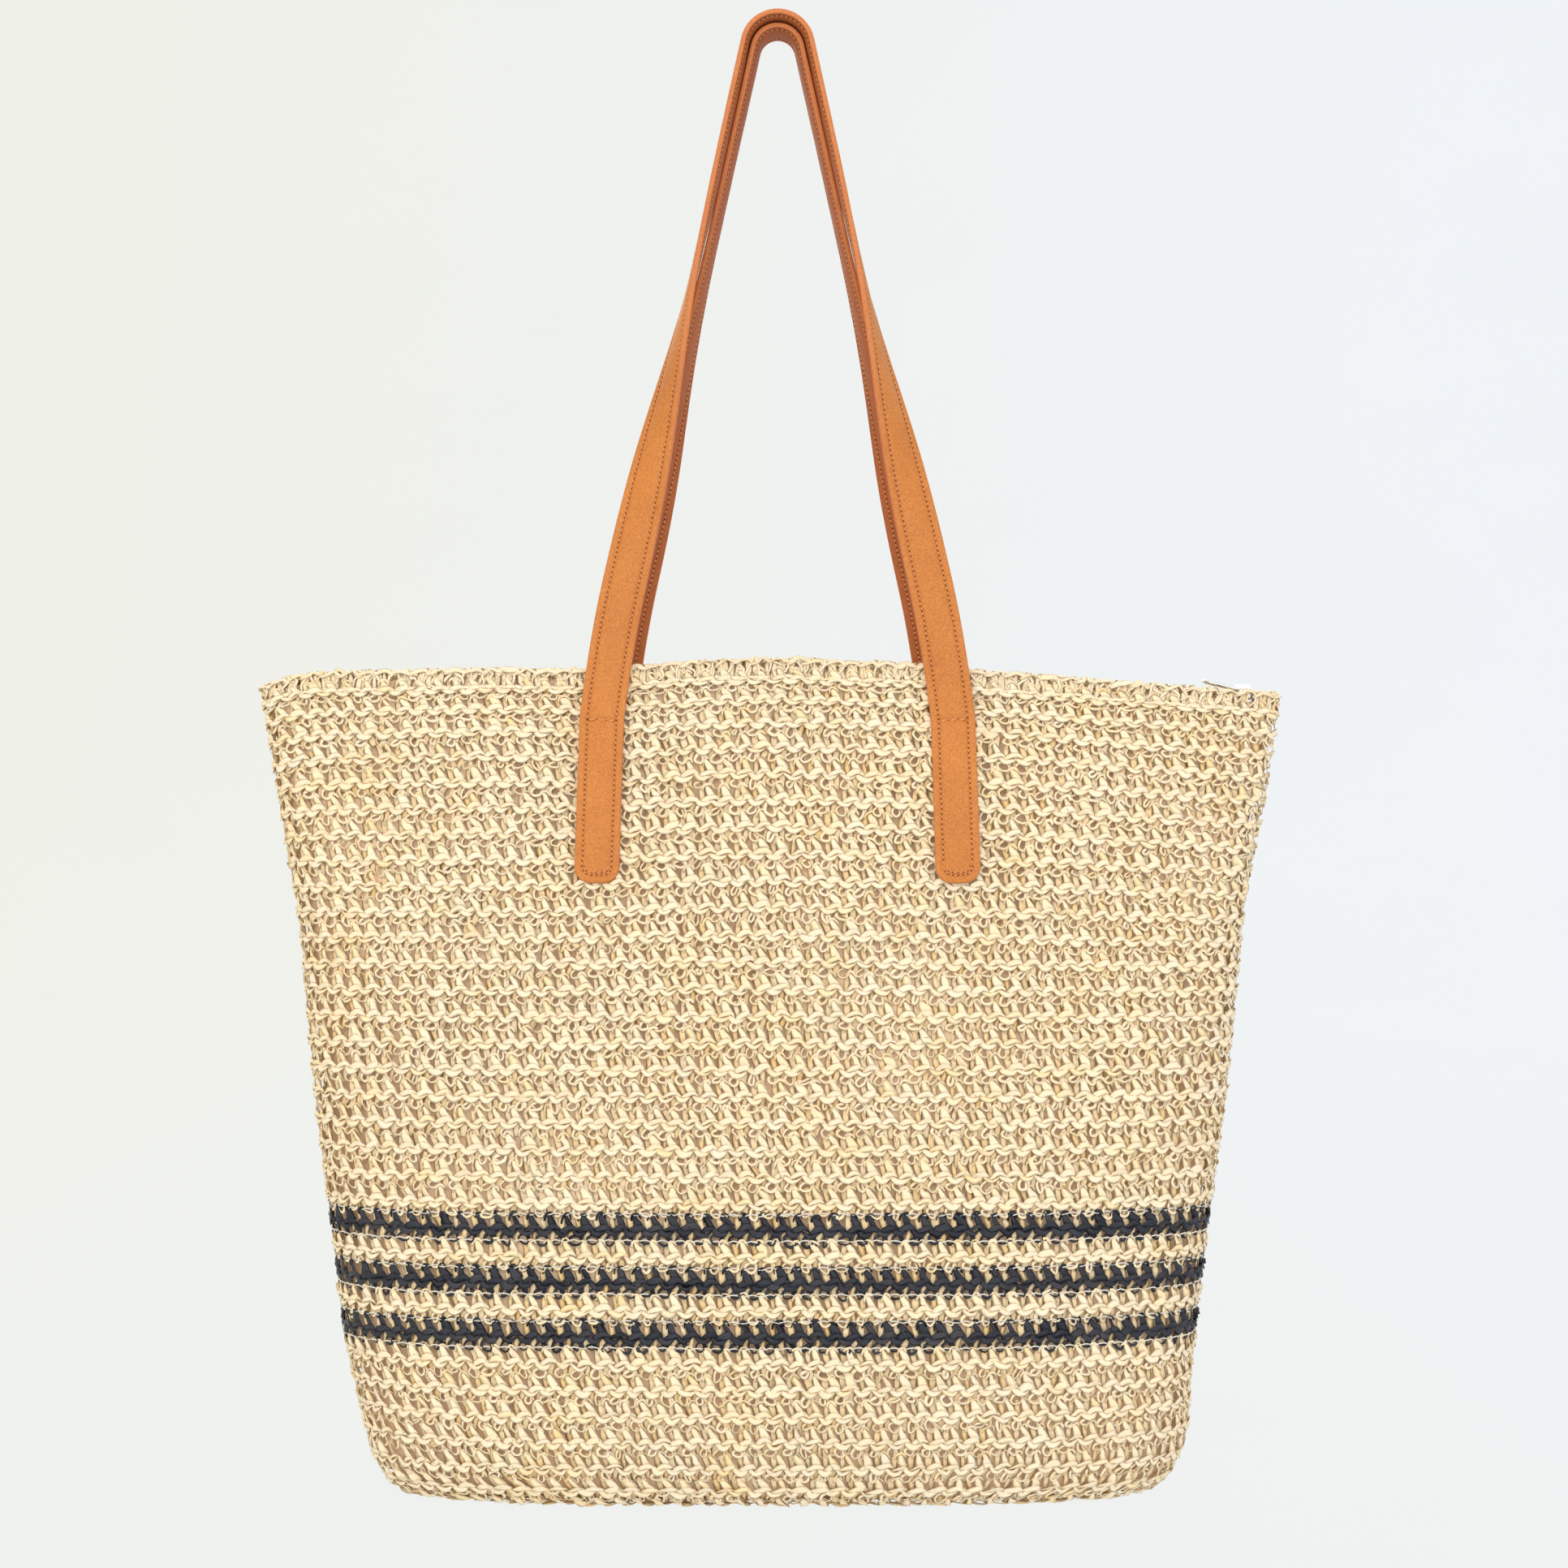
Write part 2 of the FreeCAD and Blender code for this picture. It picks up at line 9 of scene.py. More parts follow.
import bpy
import numpy as np
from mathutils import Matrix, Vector


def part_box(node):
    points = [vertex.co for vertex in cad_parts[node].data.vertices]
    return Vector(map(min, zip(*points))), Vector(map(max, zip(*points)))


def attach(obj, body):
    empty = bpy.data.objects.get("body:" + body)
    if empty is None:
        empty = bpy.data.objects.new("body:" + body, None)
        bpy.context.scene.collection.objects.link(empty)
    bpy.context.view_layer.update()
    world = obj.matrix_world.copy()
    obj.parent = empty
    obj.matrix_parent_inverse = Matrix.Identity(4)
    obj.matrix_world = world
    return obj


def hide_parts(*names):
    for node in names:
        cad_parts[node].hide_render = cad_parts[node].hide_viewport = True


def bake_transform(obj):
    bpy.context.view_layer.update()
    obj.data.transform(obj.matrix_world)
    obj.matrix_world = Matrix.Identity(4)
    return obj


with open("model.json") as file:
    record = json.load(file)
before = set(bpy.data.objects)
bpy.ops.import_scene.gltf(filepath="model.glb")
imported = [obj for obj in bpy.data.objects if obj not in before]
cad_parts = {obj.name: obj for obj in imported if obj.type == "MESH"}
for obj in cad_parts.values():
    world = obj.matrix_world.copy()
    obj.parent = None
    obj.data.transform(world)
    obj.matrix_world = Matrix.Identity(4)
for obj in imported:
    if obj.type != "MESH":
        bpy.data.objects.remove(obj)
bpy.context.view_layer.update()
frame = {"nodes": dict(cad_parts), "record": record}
MM = 0.001

# ---------------------------------------------------------------- sizes read from the CAD nodes


def box_mm(node):
    low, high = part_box(node)
    return np.array(low) / MM, np.array(high) / MM


RIM_TOP = box_mm("rim_edging")[1][2]
RIM_HALF_WIDTH = box_mm("rim_edging")[1][0]
STRIPE_LOW = box_mm("navy_stripe_lower")[0][2]
STRIPE_HIGH = box_mm("navy_stripe_upper")[1][2]
COURSE = (STRIPE_HIGH - STRIPE_LOW) / 5.0
HIP_LEVEL, BELLY_LEVEL = 41.0, 60.0
HIP_HALF_WIDTH, HIP_HALF_DEPTH = 182.5, box_mm("straw_lower_wall")[1][1]
RIM_HALF_DEPTH = 14.0
SIDE_SAG, WALL_BULGE = 3.0, 7.0
ROUND_X, ROUND_Y = 22.0, 16.0
POWER = 3.0
WALL = 4.0
LEFT_TUCK = 0.034


def half_width(level):
    rise = np.clip((level - HIP_LEVEL) / (RIM_TOP - HIP_LEVEL), 0, None)
    straight = HIP_HALF_WIDTH + (RIM_HALF_WIDTH - HIP_HALF_WIDTH) * rise
    share = np.clip(1 - level / HIP_LEVEL, 0, 1)
    return straight - 4 * SIDE_SAG * rise * (1 - rise) - ROUND_X * (1 - np.sqrt(1 - share * share))


def half_depth(level):
    rise = np.clip((level - BELLY_LEVEL) / (RIM_TOP - BELLY_LEVEL), 0, None)
    straight = HIP_HALF_DEPTH + (RIM_HALF_DEPTH - HIP_HALF_DEPTH) * rise
    share = np.clip(1 - level / HIP_LEVEL, 0, 1)
    return straight + 4 * WALL_BULGE * rise * (1 - rise) - ROUND_Y * (1 - np.sqrt(1 - share * share))


def wall_at(x, level):
    """Distance from the bag's middle plane to the outside of its front or back wall."""
    return half_depth(level) * (1 - (abs(x) / half_width(level)) ** POWER) ** (1 / POWER)


SAG_X = [-222, -213, -196, -123, -79, -30, 4, 67, 89, 159, 222]
SAG_Z = [-8.5, -4.0, -1.5, 0, -0.5, 3.4, 4.4, 1.8, -0.8, -6.2, -10.8]
SAG_SPAN = np.linspace(-240, 240, 481)
SAG_WINDOW = np.hanning(27)
SAG_LINE = np.pad(np.interp(SAG_SPAN, SAG_X, SAG_Z), 13, mode="edge")
SAG_LINE = np.convolve(SAG_LINE, SAG_WINDOW / SAG_WINDOW.sum(), mode="valid")


def sag(x, level):
    """How far the soft wall rises or sinks at a place, most at the rim."""
    share = np.clip((level - 175) / (RIM_TOP - 175), 0, 1)
    return np.interp(x, SAG_SPAN, SAG_LINE) * share * share * (3 - 2 * share)


class Surface:
    """The bag's skin as a grid of rows, from the middle of its base up the wall to the rim.

    A row is a height in millimetres on the wall and, below 0, the distance in from the base's
    edge on the flat underside. A column is a share of the way round, from the front's middle.
    """

    COLUMNS = 1200

    def __init__(self, inset, soft=0.0):
        self.low = -(HIP_HALF_DEPTH - ROUND_Y - 3)
        self.rows = np.arange(self.low, RIM_TOP + 6)
        turn = np.linspace(0, 2 * np.pi, 2881) - np.pi / 2
        grid = []
        for row in self.rows:
            level = max(row, 0.0)
            extra = inset + max(-row, 0.0)
            wide, deep = half_width(level) - extra, half_depth(level) - extra
            c, s = np.cos(turn), np.sin(turn)
            x = wide * np.sign(c) * np.abs(c) ** (2 / POWER)
            y = deep * np.sign(s) * np.abs(s) ** (2 / POWER)
            length = np.concatenate([[0], np.cumsum(np.hypot(np.diff(x), np.diff(y)))])
            even = np.linspace(0, length[-1], self.COLUMNS + 1)
            x, y = np.interp(even, length, x), np.interp(even, length, y)
            tuck = LEFT_TUCK * np.clip((STRIPE_LOW - level) / 40, 0, 1)
            x = np.where(x < 0, x * (1 - tuck), x)
            z = np.full_like(x, max(level, inset))
            z += sag(x, level)
            grid.append(np.stack([x, y, z], 1))
        self.grid = np.array(grid)
        along = np.gradient(self.grid, axis=1)
        along[:, 0] = along[:, -1] = (self.grid[:, 1] - self.grid[:, -2]) / 2
        up = np.gradient(self.grid, axis=0)
        normal = np.cross(along, up)
        normal /= np.linalg.norm(normal, axis=2, keepdims=True) + 1e-9
        if soft:
            x, z = self.grid[:, :, 0], self.grid[:, :, 2]
            side = np.sign(self.grid[:, :, 1] + 1e-6)
            wave = np.sin(x * 0.031 + z * 0.018 + side) + np.sin(x * 0.017 - z * 0.034 + 2 * side)
            fade = np.clip(z / 60, 0, 1) * np.clip((RIM_TOP - z) / 60, 0, 1)
            self.grid = self.grid + normal * (soft * wave * fade)[:, :, None]
        self.normal = normal

    def perimeter(self, row):
        ring = self.grid[int(round(row - self.low))]
        return np.linalg.norm(np.diff(ring, axis=0), axis=1).sum()

    def sample(self, row, share):
        """Places and outward directions at rows and shares of the way round."""
        v = np.clip(row - self.low, 0, len(self.rows) - 1.001)
        u = (share % 1.0) * self.COLUMNS
        v0, u0 = np.floor(v).astype(int), np.floor(u).astype(int)
        fv, fu = (v - v0)[..., None], (u - u0)[..., None]
        u1 = u0 + 1

        def mix(field):
            low = field[v0, u0] * (1 - fu) + field[v0, u1] * fu
            high = field[v0 + 1, u0] * (1 - fu) + field[v0 + 1, u1] * fu
            return low * (1 - fv) + high * fv

        normal = mix(self.normal)
        normal /= np.linalg.norm(normal, axis=-1, keepdims=True) + 1e-9
        return mix(self.grid), normal


SKIN = Surface(WALL / 2, soft=0.9)


def linked(name, data):
    """A new object in the scene that shows a mesh, a light or a camera."""
    made = bpy.data.objects.new(name, data)
    bpy.context.collection.objects.link(made)
    return made


def grid_faces(rows, columns, closed=False):
    """Faces of a grid of points kept row by row, closed round each row if asked."""
    across = columns if closed else columns - 1
    faces = []
    for row in range(rows - 1):
        low, high = row * columns, (row + 1) * columns
        for c in range(across):
            n = (c + 1) % columns
            faces.append((low + c, low + n, high + n, high + c))
    return faces


def smooth_object(name, places, faces, *items):
    """An object from points in metres and faces, shaded smooth, with its materials."""
    mesh = bpy.data.meshes.new(name)
    mesh.from_pydata(places, [], faces)
    mesh.polygons.foreach_set("use_smooth", np.ones(len(mesh.polygons), bool))
    for item in items:
        mesh.materials.append(item)
    return linked(name, mesh)


# ---------------------------------------------------------------- materials


def material(name):
    made = bpy.data.materials.new(name)
    made.use_nodes = True
    tree = made.node_tree
    tree.nodes.clear()
    out = tree.nodes.new("ShaderNodeOutputMaterial")
    shader = tree.nodes.new("ShaderNodeBsdfPrincipled")
    tree.links.new(shader.outputs[0], out.inputs[0])
    return made, tree, shader


def node(tree, kind, **settings):
    made = tree.nodes.new(kind)
    for key, value in settings.items():
        if key in made.inputs:
            made.inputs[key].default_value = value
        else:
            setattr(made, key, value)
    return made


def texture(tree, kind, **settings):
    """A texture that follows the object's own coordinates."""
    made = node(tree, kind, **settings)
    tree.links.new(node(tree, "ShaderNodeTexCoord").outputs["Object"], made.inputs["Vector"])
    return made


def ramp(tree, source, stops):
    made = tree.nodes.new("ShaderNodeValToRGB")
    elements = made.color_ramp.elements
    while len(elements) < len(stops):
        elements.new(0.5)
    for element, (place, colour) in zip(elements, stops):
        element.position = place
        element.color = (*colour, 1)
    tree.links.new(source, made.inputs[0])
    return made.outputs[0]


def bump(tree, shader, height, strength, distance):
    made = node(tree, "ShaderNodeBump", Strength=strength, Distance=distance)
    tree.links.new(height, made.inputs["Height"])
    tree.links.new(made.outputs[0], shader.inputs["Normal"])


def mixed(tree, factor, a, b, blend="MIX"):
    made = tree.nodes.new("ShaderNodeMix")
    made.data_type = "RGBA"
    made.blend_type = blend
    if hasattr(factor, "is_linked"):
        tree.links.new(factor, made.inputs[0])
    else:
        made.inputs[0].default_value = factor
    for socket, value in ((made.inputs[6], a), (made.inputs[7], b)):
        if hasattr(value, "is_linked"):
            tree.links.new(value, socket)
        else:
            socket.default_value = (*value, 1)
    return made.outputs[2]


def maths(tree, operation, a, b, c=0.5):
    made = tree.nodes.new("ShaderNodeMath")
    made.operation = operation
    for socket, value in zip(made.inputs, (a, b, c)):
        if hasattr(value, "is_linked"):
            tree.links.new(value, socket)
        else:
            socket.default_value = value
    return made.outputs[0]


def straw_material(name, stops, roughness, specular):
    """Flat paper yarn: creased along its length, with a tone of its own for each ribbon, and painted shade
    carried in its tone attribute and in its creases.
    """
    made, tree, shader = material(name)
    uv = node(tree, "ShaderNodeUVMap", uv_map="yarn")
    place = node(tree, "ShaderNodeMapping", Scale=(0.07, 1.0, 1.0))
    tree.links.new(uv.outputs[0], place.inputs[0])
    crease = node(tree, "ShaderNodeTexNoise", Scale=1.7, Detail=3.0, Roughness=0.55)
    tree.links.new(place.outputs[0], crease.inputs["Vector"])
    # The tone attribute holds each ribbon's own random tone plus painted light: painted shade on strands
    # behind, on deep strands and on strand undersides, lighter on fold ridges.
    tone = node(tree, "ShaderNodeAttribute", attribute_name="tone")
    patch = texture(tree, "ShaderNodeTexNoise", Scale=14.0, Detail=3.0)
    shade = maths(tree, "MULTIPLY", tone.outputs["Fac"], 0.55)
    shade = maths(tree, "ADD", shade, maths(tree, "MULTIPLY", patch.outputs["Fac"], 0.3))
    # Painted shade in the creases: the crease noise that sets the bump also darkens the colour where the bump
    # is low.
    shade = maths(tree, "ADD", shade, maths(tree, "MULTIPLY", crease.outputs["Fac"], 0.3))
    tree.links.new(ramp(tree, shade, stops), shader.inputs["Base Color"])
    shader.inputs["Roughness"].default_value = roughness
    shader.inputs["Specular IOR Level"].default_value = specular
    bump(tree, shader, crease.outputs["Fac"], 0.55, 0.0008)
    return made


# The golden low stops of this ramp are reached mostly through painted shade; the cream upper stops are the
# straw's own colour.
STRAW = straw_material(
    "cream_straw",
    [(0.2, (0.96, 0.64, 0.26)), (0.4, (0.96, 0.73, 0.41)), (0.58, (0.95, 0.77, 0.51)),
     (0.8, (0.94, 0.79, 0.58))],
    0.6, 0.2,
)
NAVY = straw_material(
    "navy_straw",
    [(0.25, (0.006, 0.006, 0.011)), (0.55, (0.014, 0.016, 0.027)), (0.8, (0.035, 0.035, 0.046)),
     (0.95, (0.08, 0.07, 0.07))],
    0.42, 0.35,
)


def thread_material(name, colour, dark):
    made, tree, shader = material(name)
    wave = texture(tree, "ShaderNodeTexWave", Scale=900.0, Distortion=3.0, Detail=2.0)
    wave.bands_direction = "DIAGONAL"
    tree.links.new(mixed(tree, wave.outputs["Fac"], dark, colour), shader.inputs["Base Color"])
    shader.inputs["Roughness"].default_value = 0.55
    bump(tree, shader, wave.outputs["Fac"], 0.4, 0.0003)
    return made


WHITE_THREAD = thread_material("white_thread", (0.9, 0.87, 0.8), (0.66, 0.6, 0.5))
TAN_THREAD = thread_material("tan_thread", (0.78, 0.34, 0.12), (0.58, 0.2, 0.055))


def leather_material(name, low, high, roughness):
    made, tree, shader = material(name)
    grain = texture(tree, "ShaderNodeTexNoise", Scale=1300.0, Detail=2.0, Roughness=0.6)
    pebble = texture(tree, "ShaderNodeTexVoronoi", Scale=1000.0)
    patch = texture(tree, "ShaderNodeTexNoise", Scale=34.0, Detail=4.0, Roughness=0.6)
    shade = maths(tree, "MULTIPLY", patch.outputs["Fac"], 0.35)
    shade = maths(tree, "ADD", shade, maths(tree, "MULTIPLY", grain.outputs["Fac"], 0.9))
    tree.links.new(ramp(tree, shade, [(0.42, low), (0.82, high)]), shader.inputs["Base Color"])
    rough = maths(tree, "MULTIPLY", grain.outputs["Fac"], 0.22)
    tree.links.new(maths(tree, "ADD", rough, roughness), shader.inputs["Roughness"])
    height = maths(tree, "ADD", grain.outputs["Fac"], pebble.outputs["Distance"])
    shader.inputs["Specular IOR Level"].default_value = 0.3
    bump(tree, shader, height, 0.4, 0.0002)
    return made


LEATHER = leather_material("tan_leather", (0.45, 0.135, 0.025), (0.66, 0.24, 0.05), 0.42)
# Painted shade: a darker, redder copy of the leather for the strap's underside, standing in for the shade
# under and between the straps.
UNDERSIDE_PAINTED_SHADE = leather_material("backing_leather", (0.34, 0.09, 0.025), (0.48, 0.145, 0.045), 0.55)
EDGE_PAINT = leather_material("edge_paint", (0.5, 0.15, 0.045), (0.66, 0.22, 0.07), 0.42)
# Painted shade: a near-black leather for the pits set into the strap at each stitch hole, standing in for the
# shade inside the needle holes.
NEEDLE_HOLE_PAINTED_SHADE = leather_material("needle_hole_painted_shade", (0.13, 0.028, 0.008), (0.2, 0.045, 0.012), 0.7)


def woven_material(name, low, high, threads, roughness):
    """Plain woven cloth: two crossing sets of uneven threads."""
    made, tree, shader = material(name)
    waves = []
    for direction in ("X", "Z"):
        wave = texture(tree, "ShaderNodeTexWave", Scale=threads, Distortion=2.5, Detail=2.0)
        wave.bands_direction = direction
        waves.append(wave.outputs["Fac"])
    slub = texture(tree, "ShaderNodeTexNoise", Scale=420.0, Detail=3.0)
    weave = maths(tree, "MULTIPLY", maths(tree, "ADD", waves[0], waves[1]), 0.35)
    shade = maths(tree, "ADD", weave, maths(tree, "MULTIPLY", slub.outputs["Fac"], 0.5))
    tree.links.new(ramp(tree, shade, [(0.3, low), (0.8, high)]), shader.inputs["Base Color"])
    shader.inputs["Roughness"].default_value = roughness
    shader.inputs["Sheen Weight"].default_value = 0.15
    bump(tree, shader, shade, 0.5, 0.0003)
    return made


LINING = woven_material("lining_cloth", (0.8, 0.54, 0.34), (0.95, 0.74, 0.53), 900.0, 0.85)
ZIP_TAPE = woven_material("zip_tape_cloth", (0.45, 0.34, 0.21), (0.66, 0.54, 0.38), 420.0, 0.8)


def metal_material(name, colour, roughness):
    made, tree, shader = material(name)
    scratch = texture(tree, "ShaderNodeTexNoise", Scale=650.0, Detail=4.0, Roughness=0.7)
    dull = tuple(c * 0.8 for c in colour)
    tree.links.new(mixed(tree, scratch.outputs["Fac"], dull, colour), shader.inputs["Base Color"])
    shader.inputs["Metallic"].default_value = 1.0
    rough = maths(tree, "MULTIPLY", scratch.outputs["Fac"], 0.12)
    tree.links.new(maths(tree, "ADD", rough, roughness), shader.inputs["Roughness"])
    bump(tree, shader, scratch.outputs["Fac"], 0.08, 0.0002)
    return made


NICKEL = metal_material("nickel", (0.82, 0.81, 0.79), 0.14)


def moulded_material(name, low, high):
    made, tree, shader = material(name)
    mottle = texture(tree, "ShaderNodeTexNoise", Scale=300.0, Detail=3.0)
    tree.links.new(ramp(tree, mottle.outputs["Fac"], [(0.3, low), (0.7, high)]), shader.inputs["Base Color"])
    shader.inputs["Roughness"].default_value = 0.38
    bump(tree, shader, mottle.outputs["Fac"], 0.1, 0.0002)
    return made


ZIP_TEETH = moulded_material("zip_teeth", (0.52, 0.4, 0.25), (0.68, 0.56, 0.4))

# ---------------------------------------------------------------- crochet


def spline_weights(count, samples):
    """Catmull-Rom weights that turn control points into samples, as a samples x count matrix."""
    weights = np.zeros((samples, count))
    for row, place in enumerate(np.linspace(0, count - 1, samples)):
        k = min(int(place), count - 2)
        t = place - k
        cubic = [
            -0.5 * t + t**2 - 0.5 * t**3,
            1 - 2.5 * t**2 + 1.5 * t**3,
            0.5 * t + 2 * t**2 - 1.5 * t**3,
            -0.5 * t**2 + 0.5 * t**3,
        ]
        for offset, weight in zip((-1, 0, 1, 2), cubic):
            weights[row, min(max(k + offset, 0), count - 1)] += weight
    return weights


# Each ribbon of one stitch: points (along, down, out in mm, width, roll in degrees), the samples
# along it and its thickness in mm. Along and down are in stitch widths from the top loop.
STITCH = {
    "loop": ([(-0.24, 0.36, 0.3, 0.1, 20), (-0.22, 0.12, 0.9, 0.17, 30), (-0.06, -0.07, 1.2, 0.19, 40),
              (0.15, -0.04, 1.2, 0.19, 40), (0.29, 0.2, 0.7, 0.14, 30)], 7, 0.34),
    "leg": ([(-0.07, 0.02, 0.8, 0.22, -8), (0.02, 0.22, 1.1, 0.36, -4), (0.14, 0.46, 1.3, 0.46, 4),
             (0.3, 0.8, 1.2, 0.5, 8)], 6, 0.4),
    "lens": ([(-0.5, 1.1, 0.5, 0.06, 0), (-0.24, 0.92, 1.4, 0.3, 10), (0.08, 0.74, 1.9, 0.36, 4),
              (0.38, 0.72, 1.7, 0.3, -8), (0.68, 0.98, 0.5, 0.06, -16)], 8, 0.46),
    "smile": ([(-0.86, 0.74, 0.4, 0.06, 16), (-0.62, 0.94, 1.4, 0.28, 10), (-0.34, 1.14, 1.9, 0.35, -4),
               (-0.02, 1.08, 1.6, 0.26, -10), (0.28, 0.84, 0.5, 0.06, -16)], 8, 0.46),
    "stem": ([(-0.3, 1.12, 0.9, 0.28, 0), (-0.16, 1.34, 0.7, 0.27, 18),
              (-0.1, 1.66, 0.2, 0.16, 25)], 4, 0.34),
    "ring": ([(-0.4, 1.12, 0.9, 0.16, 10), (-0.66, 1.34, 1.0, 0.19, 22), (-0.68, 1.58, 1.1, 0.17, 30),
              (-0.46, 1.72, 1.2, 0.17, 30), (-0.24, 1.58, 1.1, 0.16, 26),
              (-0.28, 1.24, 0.7, 0.12, 20)], 11, 0.34),
    "back_high": ([(-0.34, 0.05, -0.4, 0.36, 0), (-0.3, 0.5, -0.5, 0.4, 8),
                   (-0.24, 1.0, -0.1, 0.3, 0)], 3, 0.4),
    "back_low": ([(0.2, 0.98, -0.2, 0.34, 0), (0.16, 1.3, -0.5, 0.4, -8),
                  (0.08, 1.7, -0.3, 0.3, 0)], 3, 0.4),
}
LIVELY = {"ring": 1.0, "stem": 0.8, "loop": 0.5, "back_high": 0.4, "back_low": 0.6}
# A flattened strand's outline with two folds on its face, in half widths and half thicknesses.
STRAND = np.array([(1.0, 0.0), (0.46, 1.0), (-0.04, 0.1), (-0.5, 0.95), (-1.0, 0.0), (0.0, -0.9)])
# Painted light across each strand's outline: lighter on the two fold ridges, painted shade in the fold
# between them and on the edges, and most on the underside.
STRAND_PAINTED_LIGHT = np.array([-0.1, 0.05, -0.12, 0.05, -0.1, -0.35])
SIDES = len(STRAND)
CELL = 1.53


class Yarn:
    """Collects ribbons and makes one mesh of them."""

    def __init__(self):
        self.places, self.faces, self.caps, self.uvs, self.tones = [], [], [], [], []
        self.kinds, self.cap_kinds = [], []
        self.total = 0

    def add(self, centre, normal, width, roll, thickness, tone, kind=0):
        """Adds ribbons given by arrays with a row for each ribbon and a column for each sample.

        kind is the place of their material in the list that build is given.
        """
        count, samples = centre.shape[:2]
        tangent = np.gradient(centre, axis=1)
        tangent /= np.linalg.norm(tangent, axis=2, keepdims=True) + 1e-9
        across = np.cross(normal, tangent)
        across /= np.linalg.norm(across, axis=2, keepdims=True) + 1e-9
        out = np.cross(tangent, across)
        turn = np.radians(roll)[..., None]
        side = across * np.cos(turn) + out * np.sin(turn)
        face = out * np.cos(turn) - across * np.sin(turn)
        fold = rng.uniform(0.55, 1.3, (count, 1, SIDES)) * np.sign(rng.uniform(-0.25, 1, (count, 1, 1)))
        wide = (STRAND[:, 0] * width[:, :, None])[..., None] / 2
        thick = (STRAND[:, 1] * fold * thickness * np.minimum(1.0, width / 1.2)[:, :, None])[..., None] / 2
        ring = centre[:, :, None] + side[:, :, None] * wide + face[:, :, None] * thick
        self.places.append(ring.reshape(-1, 3))
        base = self.total + np.arange(count)[:, None, None] * samples * SIDES
        step = np.arange(samples - 1)[None, :, None] * SIDES
        k = np.arange(SIDES)[None, None, :]
        nxt = (k + 1) % SIDES
        start = base + step
        quads = np.stack([start + k, start + nxt, start + SIDES + nxt, start + SIDES + k], -1)
        self.faces.append(quads.reshape(-1, 4))
        self.kinds.append(np.full(count * (samples - 1) * SIDES, kind))
        self.cap_kinds.append(np.full(2 * count, kind))
        first = (base[:, 0, :] + np.arange(SIDES)[::-1])
        last = (base[:, 0, :] + (samples - 1) * SIDES + np.arange(SIDES))
        self.caps.append(np.concatenate([first, last]))
        steps = np.linalg.norm(np.diff(centre, axis=1), axis=2)
        run = np.concatenate([np.zeros((count, 1)), np.cumsum(steps, 1)], 1)
        mark = tone.mean(1)[:, None, None]
        u = np.broadcast_to(run[:, :, None] + 17.0 * mark, (count, samples, SIDES))
        v = STRAND[:, 0] * width[:, :, None] / 2 + (STRAND[:, 1] > 0) * 3.0 + 29.0 * mark
        self.uvs.append(np.stack([u, v], -1).reshape(-1, 2))
        self.tones.append((tone[:, :, None] + STRAND_PAINTED_LIGHT).clip(0, 1).reshape(-1))
        self.total += count * samples * SIDES

    def build(self, name, materials):
        places = np.concatenate(self.places) * MM
        quads = np.concatenate(self.faces)
        caps = np.concatenate(self.caps)
        loops = np.concatenate([quads.reshape(-1), caps.reshape(-1)]).astype(np.int32)
        starts = np.concatenate([
            np.arange(len(quads)) * 4, len(quads) * 4 + np.arange(len(caps)) * SIDES
        ]).astype(np.int32)
        mesh = bpy.data.meshes.new(name)
        for item in materials:
            mesh.materials.append(item)
        mesh.vertices.add(len(places))
        mesh.vertices.foreach_set("co", places.astype(np.float32).reshape(-1))
        mesh.loops.add(len(loops))
        mesh.loops.foreach_set("vertex_index", loops)
        mesh.polygons.add(len(starts))
        mesh.polygons.foreach_set("loop_start", starts)
        mesh.polygons.foreach_set("use_smooth", np.ones(len(starts), bool))
        kinds = np.concatenate(self.kinds + self.cap_kinds).astype(np.int32)
        mesh.polygons.foreach_set("material_index", kinds)
        uv = mesh.uv_layers.new(name="yarn")
        uv.data.foreach_set("uv", np.concatenate(self.uvs)[loops].astype(np.float32).reshape(-1))
        tone = mesh.attributes.new("tone", "FLOAT", "POINT")
        tone.data.foreach_set("value", np.concatenate(self.tones).astype(np.float32))
        mesh.update(calc_edges=True)
        mesh.validate()
        return linked(name, mesh)


